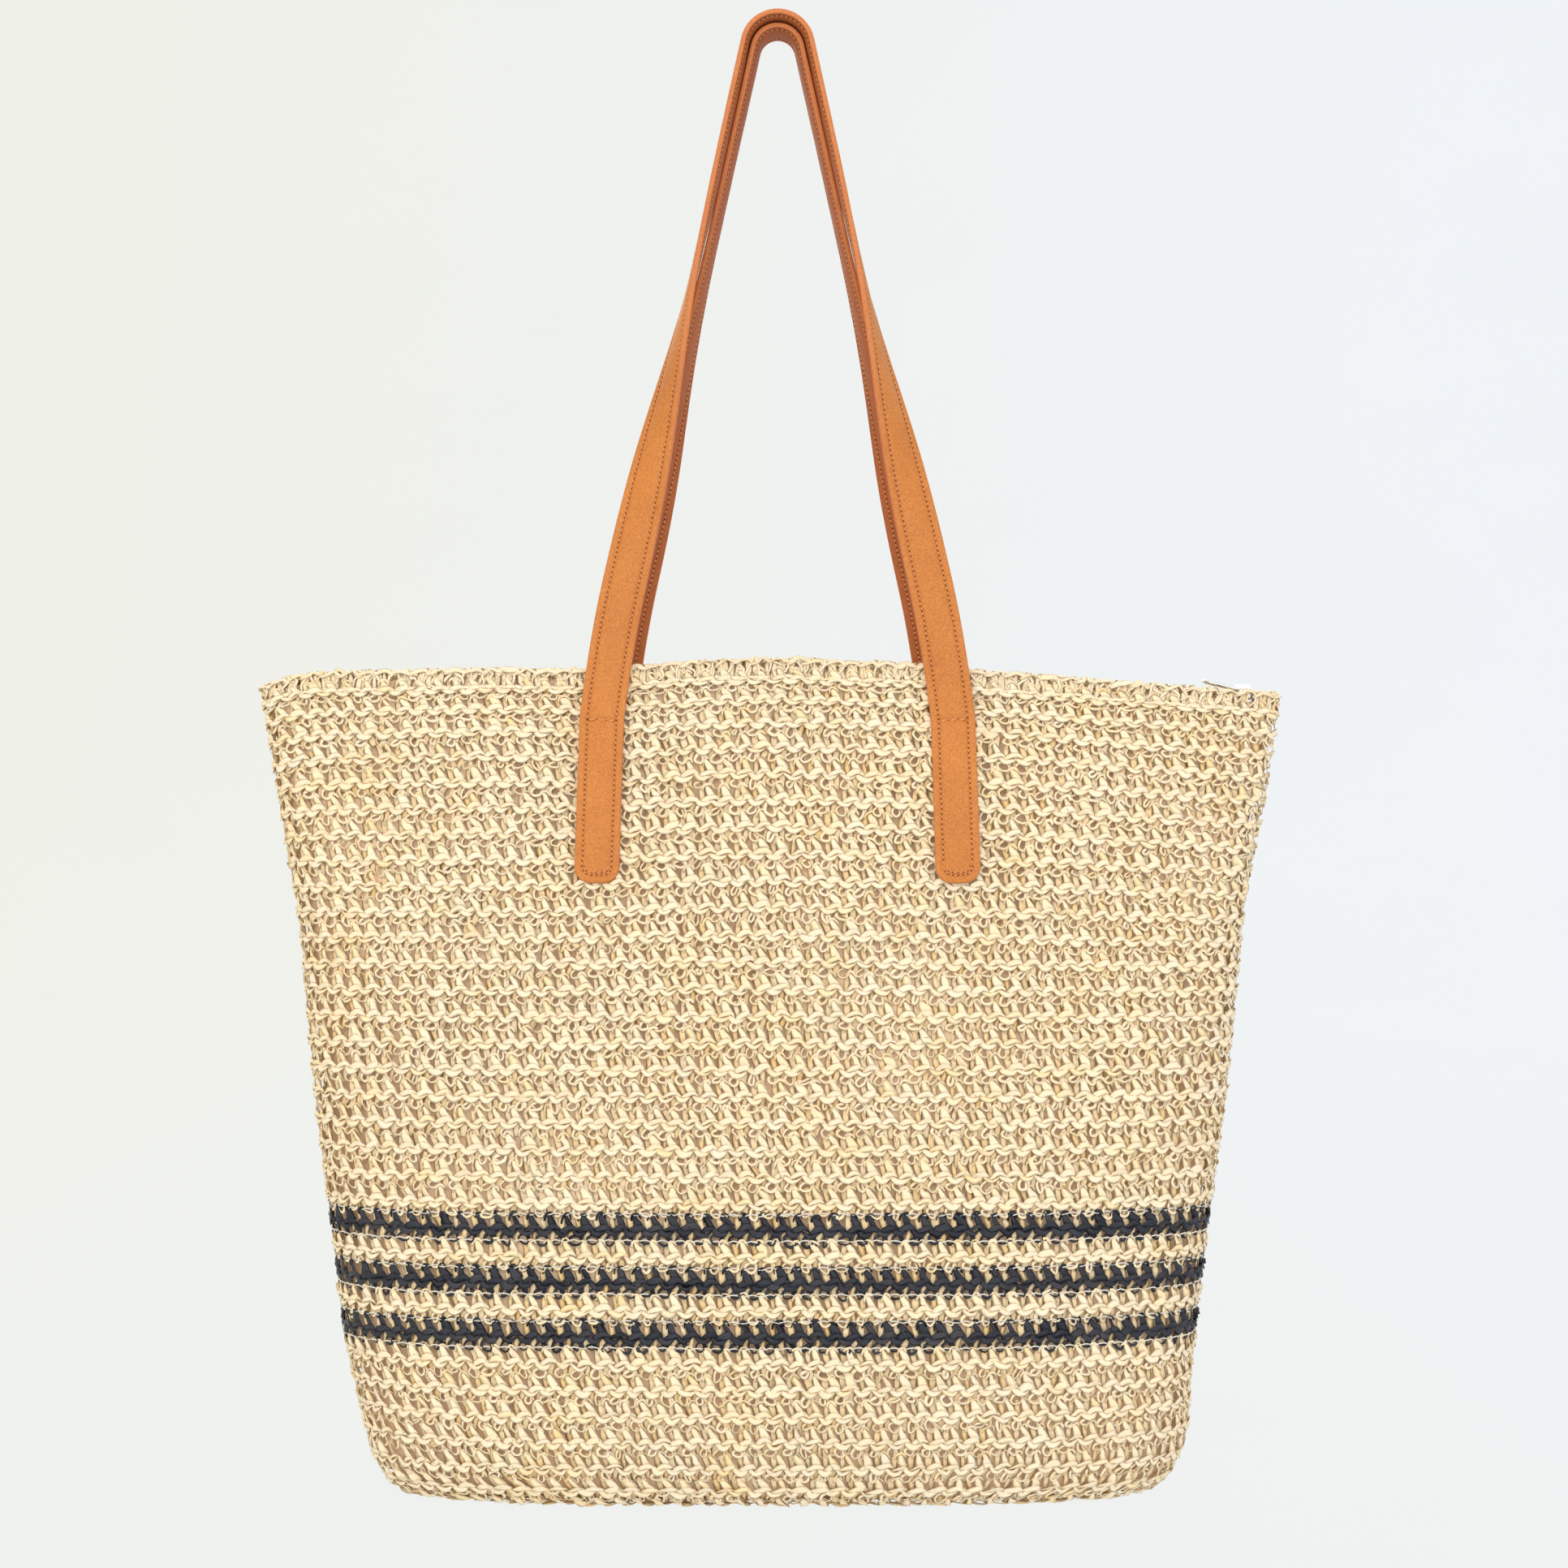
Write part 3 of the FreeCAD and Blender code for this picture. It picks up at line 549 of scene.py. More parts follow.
def crochet_round(yarn, top, height, stitches, phase):
    """Adds one round of stitches to a yarn mesh, hanging from the row called top."""
    j = np.arange(stitches)
    sway = 0.05 * np.sin(j * 0.21 + rng.uniform(0, 6)) + 0.03 * np.sin(j * 0.57 + rng.uniform(0, 6))
    shift = rng.normal(0, 0.035, stitches) + sway
    drop = rng.normal(0, 0.03, stitches)
    size = rng.normal(1.0, 0.07, stitches)
    mood = rng.uniform(-0.12, 0.12, stitches)
    for name, (points, samples, thickness) in STITCH.items():
        points = np.array(points)
        weights = spline_weights(len(points), samples)
        moved = np.broadcast_to(points, (stitches, *points.shape)).copy()
        free = LIVELY.get(name, 0.25)
        middle = points[:, :2].mean(0)
        stretch = rng.normal(1, 0.22 * free, (stitches, 2, 1)).clip(0.5, 1.5)
        lean = rng.normal(0, 0.3 * free, (stitches, 1))
        aside, below = moved[:, :, 0] - middle[0], moved[:, :, 1] - middle[1]
        moved[:, :, 0] = middle[0] + aside * stretch[:, 0] + below * lean
        moved[:, :, 1] = middle[1] + below * stretch[:, 1]
        moved[:, :, 0] += rng.normal(0, 0.026, moved.shape[:2]) + shift[:, None]
        moved[:, :, 1] += rng.normal(0, 0.024, moved.shape[:2]) + drop[:, None]
        moved[:, :, 2] += rng.normal(0, 0.18, moved.shape[:2])
        moved[:, :, 3] *= size[:, None] * rng.normal(1.0, 0.13, (stitches, 1)).clip(0.6, 1.4)
        moved[:, :, 4] += rng.normal(0, 14, (stitches, 1)) + rng.normal(0, 6, moved.shape[:2])
        fine = np.einsum("tc,scd->std", weights, moved)
        row = top - fine[:, :, 1] / CELL * height
        share = (j[:, None] + phase + fine[:, :, 0]) / stitches
        place, normal = SKIN.sample(row, share)
        centre = place + normal * fine[:, :, 2][:, :, None]
        pitch = SKIN.perimeter(top) / stitches
        width = fine[:, :, 3].clip(0.05) * pitch * (0.6 + 0.4 * min(1.0, height / 11.0))
        behind = name.startswith("back")
        # Painted shade in the tone: strands behind are 0.4 darker and front strands darken by up to 0.3 the
        # deeper they lie. The per-stitch random tone and mood are the straw's own.
        tone = (rng.uniform(0.62, 0.95, stitches) + mood - 0.4 * behind)[:, None]
        tone = (tone - 0.3 * (1 - fine[:, :, 2].clip(0, 2) / 2) * (not behind)).clip(0, 1)
        yarn.add(centre, normal, width, fine[:, :, 4], thickness, tone, int(behind))


WALL_STITCHES = 115
rng = np.random.default_rng(20731)


def stitched(name, rounds, colour, nodes):
    """One mesh of crochet rounds: each round is (top row, height, stitch count)."""
    yarn = Yarn()
    for top, height, stitches in rounds:
        crochet_round(yarn, top, height, stitches, 0.5 + rng.normal(0, 0.05))
    made = yarn.build(name, [colour, STRAW])
    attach(made, "bag")
    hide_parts(*nodes)


upper_tops = [RIM_TOP - 4.5, RIM_TOP - 12.3, RIM_TOP - 21.5, RIM_TOP - 31.5, RIM_TOP - 42.2]
open_rounds = 17
upper_pitch = (upper_tops[-1] - STRIPE_HIGH) / open_rounds
upper_tops += [upper_tops[-1] - upper_pitch * (k + 1) for k in range(open_rounds)]
upper = [(high, high - low, WALL_STITCHES) for high, low in zip(upper_tops, upper_tops[1:])]
GROUP = 3
for start in range(0, len(upper), GROUP):
    name = f"straw_courses_{start // GROUP + 1:02d}"
    stitched(name, upper[start:start + GROUP], STRAW, ["straw_upper_wall"])
stripes = [
    ("navy_course_upper", NAVY, "navy_straw", "navy_stripe_upper"),
    ("straw_course_between_upper", STRAW, "straw", "straw_band_upper"),
    ("navy_course_middle", NAVY, "navy_straw", "navy_stripe_middle"),
    ("straw_course_between_lower", STRAW, "straw", "straw_band_lower"),
    ("navy_course_lower", NAVY, "navy_straw", "navy_stripe_lower"),
]
for place, (name, colour, slot, cad_node) in enumerate(stripes):
    stitched(name, [(STRIPE_HIGH - place * COURSE, COURSE, WALL_STITCHES)], colour, [cad_node])
lower_tops = list(np.linspace(STRIPE_LOW, 13.5, 6))
lower = [(high, high - low, WALL_STITCHES) for high, low in zip(lower_tops, lower_tops[1:])]
for start in range(0, len(lower), GROUP):
    name = f"straw_courses_low_{start // GROUP + 1:02d}"
    stitched(name, lower[start:start + GROUP], STRAW, ["straw_lower_wall"])
BASE_STITCH = 7.8
base_tops = [13.5, 4.5, -4.0, -14.0, -24.0, -34.0, -42.0]
base = []
for high, low in zip(base_tops, base_tops[1:]):
    base.append((high, high - low, int(round(SKIN.perimeter(low) / BASE_STITCH))))
stitched("straw_base_rounds", base, STRAW, ["straw_base"])


def edge_ribbons(yarn, path, count, along, width, thickness, jitter):
    """Ribbons round the mouth that repeat one path of (along in stitches, row from the top, out) points."""
    path = np.array(path)
    samples = 4 * len(path)
    weights = spline_weights(len(path), samples)
    moved = path[None] + rng.normal(0, 1, (count, *path.shape)) * np.array(jitter)
    fine = np.einsum("tc,scd->std", weights, moved)
    start = np.arange(count)[:, None] * WALL_STITCHES / count + along
    share = (start + rng.normal(0, jitter[0], (count, 1)) + fine[:, :, 0]) / WALL_STITCHES
    place, normal = SKIN.sample(RIM_TOP + fine[:, :, 1], share)
    centre = place + normal * fine[:, :, 2][:, :, None]
    tangent = np.gradient(centre, axis=1)
    up = np.broadcast_to([0, 0, 1.0], normal.shape)
    rise = np.clip((fine[:, :, 1] + 3.0) / 3.0, 0, 1)[..., None]
    facing = normal * (1 - rise) + (np.sign(fine[:, :, 2:3] + 0.8) * 0.6 * normal + up) * rise
    facing -= tangent * (facing * tangent).sum(2, keepdims=True) / (tangent * tangent).sum(2, keepdims=True)
    taper = np.sin(np.linspace(0.16, np.pi - 0.16, samples)) ** 0.5
    wide = width * rng.normal(1, 0.16, (count, 1)).clip(0.6, 1.4) * taper[None]
    roll = rng.normal(0, 10, (count, 1)) + rng.normal(0, 5, (count, samples))
    tone = rng.uniform(0.55, 0.95, (count, 1)) * np.ones((1, samples))
    yarn.add(centre, facing, wide, roll, thickness, tone)


def rim_edging():
    """The folded-over edge: dense upright strips, arched loops over them and a chain along the top."""
    yarn = Yarn()
    inside = -WALL - 1.2
    for side, out in (("outer", 0.0), ("inner", inside)):
        lift = 1.0 if side == "outer" else -1.0
        strip = [(0.0, -9.0, out - 0.1), (0.04, -5.0, out + 0.4 * lift), (0.08, -0.6, out)]
        edge_ribbons(yarn, strip, 3 * WALL_STITCHES, 0.0, 2.6, 0.45, (0.12, 0.4, 0.15))
        leaf = [(-0.62, -2.2, out + 0.6 * lift), (-0.3, -1.3, out + 1.1 * lift),
                (0.05, -0.5, out + 1.2 * lift), (0.35, -0.8, out + 1.1 * lift), (0.6, -2.0, out + 0.6 * lift)]
        edge_ribbons(yarn, leaf, WALL_STITCHES, 0.5, 2.9, 0.6, (0.05, 0.35, 0.2))
    arch = [(-0.5, -7.4, 0.7), (-0.34, -4.4, 1.0), (-0.18, -1.6, 1.0), (0.0, 0.1, 0.6), (0.16, -1.6, 1.0),
            (0.3, -4.2, 1.0), (0.46, -7.2, 0.7)]
    edge_ribbons(yarn, arch, WALL_STITCHES, 0.2, 1.4, 0.35, (0.12, 0.7, 0.15))
    bridge = [(-0.2, -0.6, 1.0), (0.0, 0.2, -0.6), (0.1, 0.5, inside / 2), (0.25, 0.1, inside + 0.4),
              (0.3, -1.0, inside - 0.6)]
    edge_ribbons(yarn, bridge, 2 * WALL_STITCHES, 0.3, 2.7, 0.5, (0.08, 0.3, 0.15))
    crumb = [(-0.3, -7.4, 1.0), (-0.05, -8.3, 1.7), (0.2, -7.6, 1.1)]
    edge_ribbons(yarn, crumb, 2 * WALL_STITCHES, 0.1, 1.6, 0.45, (0.08, 0.3, 0.2))
    made = yarn.build("rim_edging_straw", [STRAW])
    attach(made, "bag")
    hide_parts("rim_edging")


rim_edging()


def closed_tube(name, points, radius, colour):
    """A thin ring of tube through points given in millimetres."""
    count, sides = len(points), 6
    tangent = np.roll(points, -1, 0) - np.roll(points, 1, 0)
    tangent /= np.linalg.norm(tangent, axis=1, keepdims=True) + 1e-9
    helper = np.tile([0.0, 0.0, 1.0], (count, 1))
    helper[np.abs(tangent[:, 2]) > 0.9] = (1.0, 0.0, 0.0)
    a = np.cross(tangent, helper)
    a /= np.linalg.norm(a, axis=1, keepdims=True) + 1e-9
    b = np.cross(tangent, a)
    angle = np.arange(sides) * 2 * np.pi / sides
    turned = a[:, None] * np.cos(angle)[None, :, None] + b[:, None] * np.sin(angle)[None, :, None]
    ring = points[:, None] + radius * turned
    faces = grid_faces(count, sides, closed=True)
    last = (count - 1) * sides
    faces += [(last + k, last + (k + 1) % sides, (k + 1) % sides, k) for k in range(sides)]
    return smooth_object(name, (ring.reshape(-1, 3) * MM).tolist(), faces, colour)


def border_thread(name, row):
    """The fine white thread that carries the stitches where the colour changes."""
    shares = np.linspace(0, WALL_STITCHES, WALL_STITCHES * 6, endpoint=False)
    dip = -0.45 * np.cos(2 * np.pi * (shares - 0.5))
    rows = row + dip + 0.25 * np.sin(shares * 0.37) + rng.normal(0, 0.05, len(shares))
    place, normal = SKIN.sample(rows, shares / WALL_STITCHES)
    out = 1.15 + 0.55 * np.cos(2 * np.pi * shares)
    made = closed_tube(name, place + normal * out[:, None], 0.3, WHITE_THREAD)
    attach(made, "bag")


for k in range(6):
    border_thread(f"border_thread_{k + 1}", STRIPE_HIGH - k * COURSE)

# ---------------------------------------------------------------- lining

INSIDE = Surface(WALL + 0.5)


def lining_sheet(name, first, last, low, high, cad_node):
    """A cut of the loose lining between two shares of the way round and two rows."""
    columns = np.linspace(first, last, 150)
    rows = np.arange(low, high + 0.1, 3.0)
    u, v = np.meshgrid(columns, rows)
    place, normal = INSIDE.sample(v, u)
    level = np.clip((v - 10) / 60, 0, 1) * np.clip((high - v) / 25, 0, 1)
    fold = np.sin(u * 90 + np.sin(v * 0.02) * 3) * 0.5 + np.sin(u * 41 + v * 0.013) * 0.5
    place = place - normal * ((0.7 + 0.7 * fold) * level)[..., None]
    place[..., 2] = np.maximum(place[..., 2], WALL + 0.6)
    made = smooth_object(name, (place.reshape(-1, 3) * MM).tolist(), grid_faces(*u.shape), LINING)
    solid = made.modifiers.new("cloth", "SOLIDIFY")
    solid.thickness = 0.0004
    solid.offset = 0
    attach(made, "bag")
    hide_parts(cad_node)


LINING_TOP = RIM_TOP - 4.0
lining_sheet("lining_front_cloth", -0.25, 0.25, 16, LINING_TOP, "lining_front")
lining_sheet("lining_back_cloth", 0.25, 0.75, 16, LINING_TOP, "lining_back")


def lining_floor():
    """The oval bottom of the lining, which lies on the straw base and turns up into the sides."""
    rings = []
    for row in list(np.arange(16, 0, -4.0)) + list(np.arange(0, INSIDE.low, -5.0)):
        place, _ = INSIDE.sample(np.full(120, row), np.arange(120) / 120)
        place[:, 2] = np.maximum(place[:, 2], WALL + 0.6)
        rings.append(place)
    faces = grid_faces(len(rings), 120, closed=True)
    last = (len(rings) - 1) * 120
    faces += [(last + c, last + c + 1, last + 118 - c, last + 119 - c) for c in range(0, 59)]
    made = smooth_object("lining_base_cloth", (np.concatenate(rings) * MM).tolist(), faces, LINING)
    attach(made, "bag")
    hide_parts("lining_base")


lining_floor()

# ---------------------------------------------------------------- handles

TAB_GAP = 0.4
TAB_SPREAD = 1.5
TAB_LOW = box_mm("front_tab_right")[0][2]
STRAP_WIDTH = 19.0
STITCH_INSET = 3.3
STITCH_PITCH = 2.2
NEEDLE_RADIUS = 0.27
HINGES = {joint["name"]: joint for joint in frame["record"]["behaviour"]["joints"]}
HINGE_LEVEL = HINGES["front_handle_swing"]["pos_m"][2] / MM
STRAP_THICK = 3.0
RIM_CLEARANCE = 2.0
TWIST_START = 20.0
APEX_RADIUS, APEX_OFFSET, SEAM_LEAN = 14.0, 3.0, math.radians(6)
TAB_CORNER = 7.0


def strap_line(side_name, face, nesting, lean, twist_angle, twist_length, twist_power):
    """Middle line and directions of a whole strap, from the left sewn end to the right one."""
    left, right = ([box_mm(f"{side_name}_tab_{end}")[k][0] for k in (0, 1)] for end in ("left", "right"))
    reach = (right[0] - left[1] + STRAP_WIDTH) / 2
    shift = (left[0] + right[1]) / 2
    apex = box_mm(f"{side_name}_strap_outer")[1][2] - STRAP_THICK / 2

    def depth(x, level):
        if level <= HINGE_LEVEL:
            return wall_at(x, level) + TAB_GAP + STRAP_THICK / 2
        start = wall_at(reach, HINGE_LEVEL) + TAB_GAP + STRAP_THICK / 2
        passing = wall_at(reach, RIM_TOP) + RIM_CLEARANCE + STRAP_THICK / 2
        if level <= RIM_TOP:
            return start + (passing - start) * (level - HINGE_LEVEL) / (RIM_TOP - HINGE_LEVEL)
        return passing + (APEX_OFFSET - passing) * (level - RIM_TOP) / (apex - RIM_TOP)

    small = APEX_RADIUS - nesting
    turn_x = small * math.cos(lean)
    turn_z = apex - small + small * math.sin(lean)
    spare = turn_x + math.tan(lean) * (turn_z - HINGE_LEVEL) - reach
    bend = math.tan(lean) * (math.sin(lean) - math.sin(SEAM_LEAN)) - math.cos(SEAM_LEAN) + math.cos(lean)
    large = spare / bend
    route = []
    steps = 34
    for k in range(steps):
        share = k / steps
        route.append((reach + TAB_SPREAD * (1 - share), TAB_LOW + (HINGE_LEVEL - TAB_LOW) * share, 1.0, 0.0))
    for k in range(40):
        angle = SEAM_LEAN + (lean - SEAM_LEAN) * k / 40
        route.append((reach - large * (math.cos(SEAM_LEAN) - math.cos(angle)),
                      HINGE_LEVEL + large * (math.sin(angle) - math.sin(SEAM_LEAN)),
                      math.cos(angle), math.sin(angle)))
    x0 = reach - large * (math.cos(SEAM_LEAN) - math.cos(lean))
    z0 = HINGE_LEVEL + large * (math.sin(lean) - math.sin(SEAM_LEAN))
    for k in range(50):
        share = k / 50
        route.append((x0 + (turn_x - x0) * share, z0 + (turn_z - z0) * share, math.cos(lean), math.sin(lean)))
    for k in range(17):
        angle = lean + (math.pi / 2 - lean) * k / 16
        route.append((small * math.cos(angle), apex - small + small * math.sin(angle),
                      math.cos(angle), math.sin(angle)))
    route = np.array(route)
    run = np.concatenate([[0], np.cumsum(np.hypot(np.diff(route[:, 0]), np.diff(route[:, 1])))])
    hinge_run = run[steps]
    turned = run[-1] - hinge_run - TWIST_START
    turning = np.clip(run - hinge_run - TWIST_START, 0, None)
    share = 1 - np.exp(-((turning / twist_length) ** twist_power))
    share /= 1 - math.exp(-((turned / twist_length) ** twist_power))
    places, normals = [], []
    for side, order in ((-1, range(len(route))), (1, range(len(route) - 2, -1, -1))):
        for k in order:
            x, z, out_x, out_z = route[k]
            twist = math.radians(twist_angle * min(1.0, share[k]))
            places.append((shift + side * x, face * depth(x, z), z))
            outward = np.array([side * out_x, 0, out_z])
            lean = math.atan2(wall_at(x, z - 4) - wall_at(x, z + 4), 8.0) if z <= HINGE_LEVEL else 0.0
            forward = np.array([0, face * math.cos(lean), math.sin(lean)])
            normals.append(forward * math.cos(twist) + outward * math.sin(twist))
    places, normals = np.array(places), np.array(normals)
    tangent = np.gradient(places, axis=0)
    tangent /= np.linalg.norm(tangent, axis=1, keepdims=True)
    normals -= tangent * (normals * tangent).sum(1)[:, None]
    normals /= np.linalg.norm(normals, axis=1, keepdims=True)
    across = np.cross(tangent, normals)
    run = np.concatenate([[0], np.cumsum(np.linalg.norm(np.diff(places, axis=0), axis=1))])
    return places, across, normals, run, hinge_run


def resample(line, stations):
    """The strap's middle line and directions at given distances from its first end."""
    places, across, normals, run, _ = line
    out = []
    for field in (places, across, normals):
        out.append(np.stack([np.interp(stations, run, field[:, k]) for k in range(3)], 1))
    out[2] /= np.linalg.norm(out[2], axis=1, keepdims=True)
    out[1] /= np.linalg.norm(out[1], axis=1, keepdims=True)
    return out


# The padded strap's height above its middle, against the distance from its edge, in mm.
EDGE_IN = [0.0, 0.12, 0.35, 0.8, 1.6, 2.5, 2.9, 3.3, 3.7, 4.2, 5.2, 7.0, 9.5]
EDGE_UP = [0.55, 0.86, 1.05, 1.17, 1.2, 1.12, 0.93, 0.78, 0.93, 1.24, 1.52, 1.72, 1.8]
SEAM_PLACE = 0.8


def strap_mesh(side_name, line):
    """The stitched leather strap as one closed form, padded between its seams and round at its ends."""
    total, hinge = line[3][-1], line[4]
    near = np.concatenate([np.linspace(0, 1, 8) ** 2 * 1.2, np.arange(1.55, 9.0, 0.35)])
    about = np.arange(hinge - 5, hinge + 7, 0.4)
    first = np.concatenate([near, np.linspace(9.0, about[0] - 0.4, 24), about])
    middle = np.linspace(about[-1] + 0.6, total - about[-1] - 0.6, 300)
    stations = np.concatenate([first, middle, (total - first)[::-1]])
    places, across, normals = resample(line, stations)
    reach = np.minimum(stations, total - stations)
    fall = np.clip(TAB_CORNER - reach, 0, None)
    half = STRAP_WIDTH / 2 - TAB_CORNER + np.sqrt(TAB_CORNER**2 - fall**2)
    inner = np.array([0, 2.5, 4.3, 5.3, 5.8, 6.2, 6.6, 7.0, 7.9, 8.7, 9.15, 9.38, 9.5]) / 9.5
    shares = np.concatenate([-inner[:0:-1], inner])
    side = shares[None] * half[:, None]
    dx = STRAP_WIDTH / 2 - np.abs(side)
    ds = np.broadcast_to(reach[:, None], dx.shape)
    round_x, round_s = np.clip(TAB_CORNER - dx, 0, None), np.clip(TAB_CORNER - ds, 0, None)
    at_corner = (round_x > 0) & (round_s > 0)
    inset = np.where(at_corner, TAB_CORNER - np.hypot(round_x, round_s), np.minimum(dx, ds))
    height = np.interp(inset.clip(0), EDGE_IN, EDGE_UP)
    past = reach - hinge - SEAM_PLACE
    filled = np.clip(past / 3.0, 0, 1)[:, None]
    height -= np.clip(height - 1.1, 0, None) * (0.45 * (1 - filled))
    height -= (0.5 * np.exp(-((past / 0.9) ** 2)))[:, None] * np.clip((inset - 2.6) / 1.0, 0, 1)
    height *= (1 + 0.02 * np.sin(stations * 0.11) + 0.015 * np.sin(stations * 0.37))[:, None]
    centre = places[:, None] + across[:, None] * side[..., None]
    top = centre + normals[:, None] * height[..., None]
    under = (centre - normals[:, None] * height[..., None])[:, ::-1]
    ring = np.concatenate([top, under], 1)
    count, sides = ring.shape[:2]
    width = len(shares)
    i, k = np.meshgrid(np.arange(count - 1), np.arange(sides), indexing="ij")
    m = (k + 1) % sides
    quads = np.stack([i * sides + k, (i + 1) * sides + k, (i + 1) * sides + m, i * sides + m], -1)
    column = k % width
    edge = (column < 2) | (column >= width - 3)
    # Edge columns get edge paint; the underside gets the darker leather, which is painted shade.
    kinds = np.where(edge, 1, np.where(k >= width, 2, 0))
    ends = [list(range(sides)), list((count - 1) * sides + np.arange(sides))[::-1]]
    name = f"{side_name}_handle_leather"
    faces = quads.reshape(-1, 4).tolist() + ends
    made = smooth_object(name, (ring.reshape(-1, 3) * MM).tolist(), faces, LEATHER, EDGE_PAINT, UNDERSIDE_PAINTED_SHADE)
    made.data.polygons.foreach_set("material_index", np.append(kinds.reshape(-1), [1, 1]).astype(np.int32))
    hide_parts(*[f"{side_name}_strap_{part}" for part in ("outer", "inner", "core")],
                f"{side_name}_tab_left", f"{side_name}_tab_right")
    return made


def capsules(name, starts, ends, normals, radii, colour):
    """Short closed stitches between pairs of points, slightly arched away from the leather."""
    starts, ends, normals = (np.array(v, float) for v in (starts, ends, normals))
    sides = 6
    shares = np.array([0.0, 0.12, 0.5, 0.88, 1.0])
    swell = np.array([0.45, 0.9, 1.0, 0.9, 0.45])
    arch = np.array([-0.25, 0.05, 0.22, 0.05, -0.25])
    centre = starts[:, None] + (ends - starts)[:, None] * shares[None, :, None]
    centre = centre + normals[:, None] * arch[None, :, None]
    tangent = ends - starts
    tangent /= np.linalg.norm(tangent, axis=1, keepdims=True) + 1e-9
    side = np.cross(normals, tangent)
    side /= np.linalg.norm(side, axis=1, keepdims=True) + 1e-9
    out = np.cross(tangent, side)
    angle = np.arange(sides) * 2 * np.pi / sides
    ring = centre[:, :, None] + (radii[:, None] * swell)[:, :, None, None] * (
        side[:, None, None] * np.cos(angle)[None, None, :, None]
        + 0.8 * out[:, None, None] * np.sin(angle)[None, None, :, None]
    )
    last = (len(shares) - 1) * sides
    one = grid_faces(len(shares), sides, closed=True)
    one += [tuple(range(sides))[::-1], tuple(range(last, last + sides))]
    size = last + sides
    faces = [tuple(base + k for k in face) for base in range(0, len(starts) * size, size) for face in one]
    return smooth_object(name, (ring.reshape(-1, 3) * MM).tolist(), faces, colour)


def end_track(inset):
    """A seam round a sewn end as (distance from the end, across) points, inset from its outline."""
    radius = max(0.5, TAB_CORNER - inset)
    flat = STRAP_WIDTH / 2 - inset - radius
    turn = np.linspace(0, np.pi / 2, 12)
    arc = np.stack([inset + radius * (1 - np.sin(turn)), -(flat + radius * np.cos(turn))], 1)
    path = np.concatenate([arc, (arc * (1, -1))[::-1]])
    steps = np.concatenate([[0], np.cumsum(np.linalg.norm(np.diff(path, axis=0), axis=1))])
    fine = np.linspace(0, steps[-1], int(round(steps[-1] / STITCH_PITCH)) + 1)
    return np.stack([np.interp(fine, steps, path[:, 0]), np.interp(fine, steps, path[:, 1])], 1)


def strap_seams(side_name, line):
    """Two seams along the strap, a doubled one round each sewn end and a cross seam at the hinge."""
    total, hinge = line[3][-1], line[4]
    inset = STRAP_WIDTH / 2 - STITCH_INSET
    straight = np.arange(TAB_CORNER, total - TAB_CORNER, STITCH_PITCH)
    tracks = []
    for sign in (-1, 1):
        tracks.append((np.stack([straight, np.full(len(straight), sign * inset)], 1), 0.94, (1, -1), 0.43))
    for flip in (False, True):
        cross = np.linspace(-inset, inset, 4)
        seam = np.stack([hinge + SEAM_PLACE + 0.25 * np.sin(cross * 2.0), cross], 1)
        ends = [(end_track(STITCH_INSET), 0.94, (1, -1), 0.43),
                (end_track(STITCH_INSET + 1.1), 1.12, (1,), 0.43), (seam, 0.98, (1,), 0.6)]
        for track, depth, faces, radius in ends:
            if flip:
                track = np.stack([total - track[:, 0], track[:, 1]], 1)
            tracks.append((track, depth, faces, radius))
    starts, ends, directions, radii, holes = [], [], [], [], []
    for track, depth, faces, radius in tracks:
        for sign in faces:
            places, across, normals = resample(line, track[:, 0])
            jitter = rng.normal(0, 0.08, len(track))
            spot = places + across * (track[:, 1] + jitter)[:, None] + normals * (sign * depth)
            step = spot[1:] - spot[:-1]
            slant = np.cross(normals[:-1] * sign, step) * 0.07
            starts.append(spot[:-1] + step * 0.2 - slant)
            ends.append(spot[1:] - step * 0.16 + slant)
            directions.append(normals[:-1] * sign)
            radii.append(np.full(len(step), radius))
            along = step / np.linalg.norm(step, axis=1, keepdims=True)
            tilt = along * 0.2 + np.cross(normals[:-1] * sign, along) * 0.32
            base = spot[:-1] - normals[:-1] * (0.1 * sign)
            holes.append((base - tilt, base + tilt, normals[:-1] * sign))
    threads = capsules(f"{side_name}_handle_stitches", np.concatenate(starts), np.concatenate(ends),
                       np.concatenate(directions), np.concatenate(radii), TAN_THREAD)
    # The dark pits at the needle holes are painted shade.
    first, second, facing = (np.concatenate([hole[k] for hole in holes]) for k in range(3))
    pits = capsules(f"{side_name}_handle_needle_hole_painted_shade", first, second, facing,
                    np.full(len(first), NEEDLE_RADIUS), NEEDLE_HOLE_PAINTED_SHADE)
    return [threads, pits]


def make_handle(side_name, face, nesting, lean, twist_angle, twist_length, twist_power):
    line = strap_line(side_name, face, nesting, math.radians(lean), twist_angle, twist_length, twist_power)
    for made in [strap_mesh(side_name, line), *strap_seams(side_name, line)]:
        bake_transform(made)


make_handle("front", -1, 0.0, 12.5, 96.0, 131.0, 2.6)
make_handle("back", 1, 4.2, 12.8, 84.0, 110.0, 2.6)

# ---------------------------------------------------------------- zip: CAD nodes with their finishes


def finish_node(name, item):
    thing = frame["nodes"][name]
    for k in range(max(1, len(thing.material_slots))):
        if thing.material_slots:
            thing.material_slots[k].material = item
        else:
            thing.data.materials.append(item)


for name in ("zip_tape_front", "zip_tape_back"):
    finish_node(name, ZIP_TAPE)
for name in ("zip_teeth_front", "zip_teeth_back"):
    finish_node(name, ZIP_TEETH)
for name in ("zip_bottom_stop", "zip_top_stop", "slider_body", "slider_bridge", "zip_pull"):
    finish_node(name, NICKEL)

# ---------------------------------------------------------------- stage, lights and camera


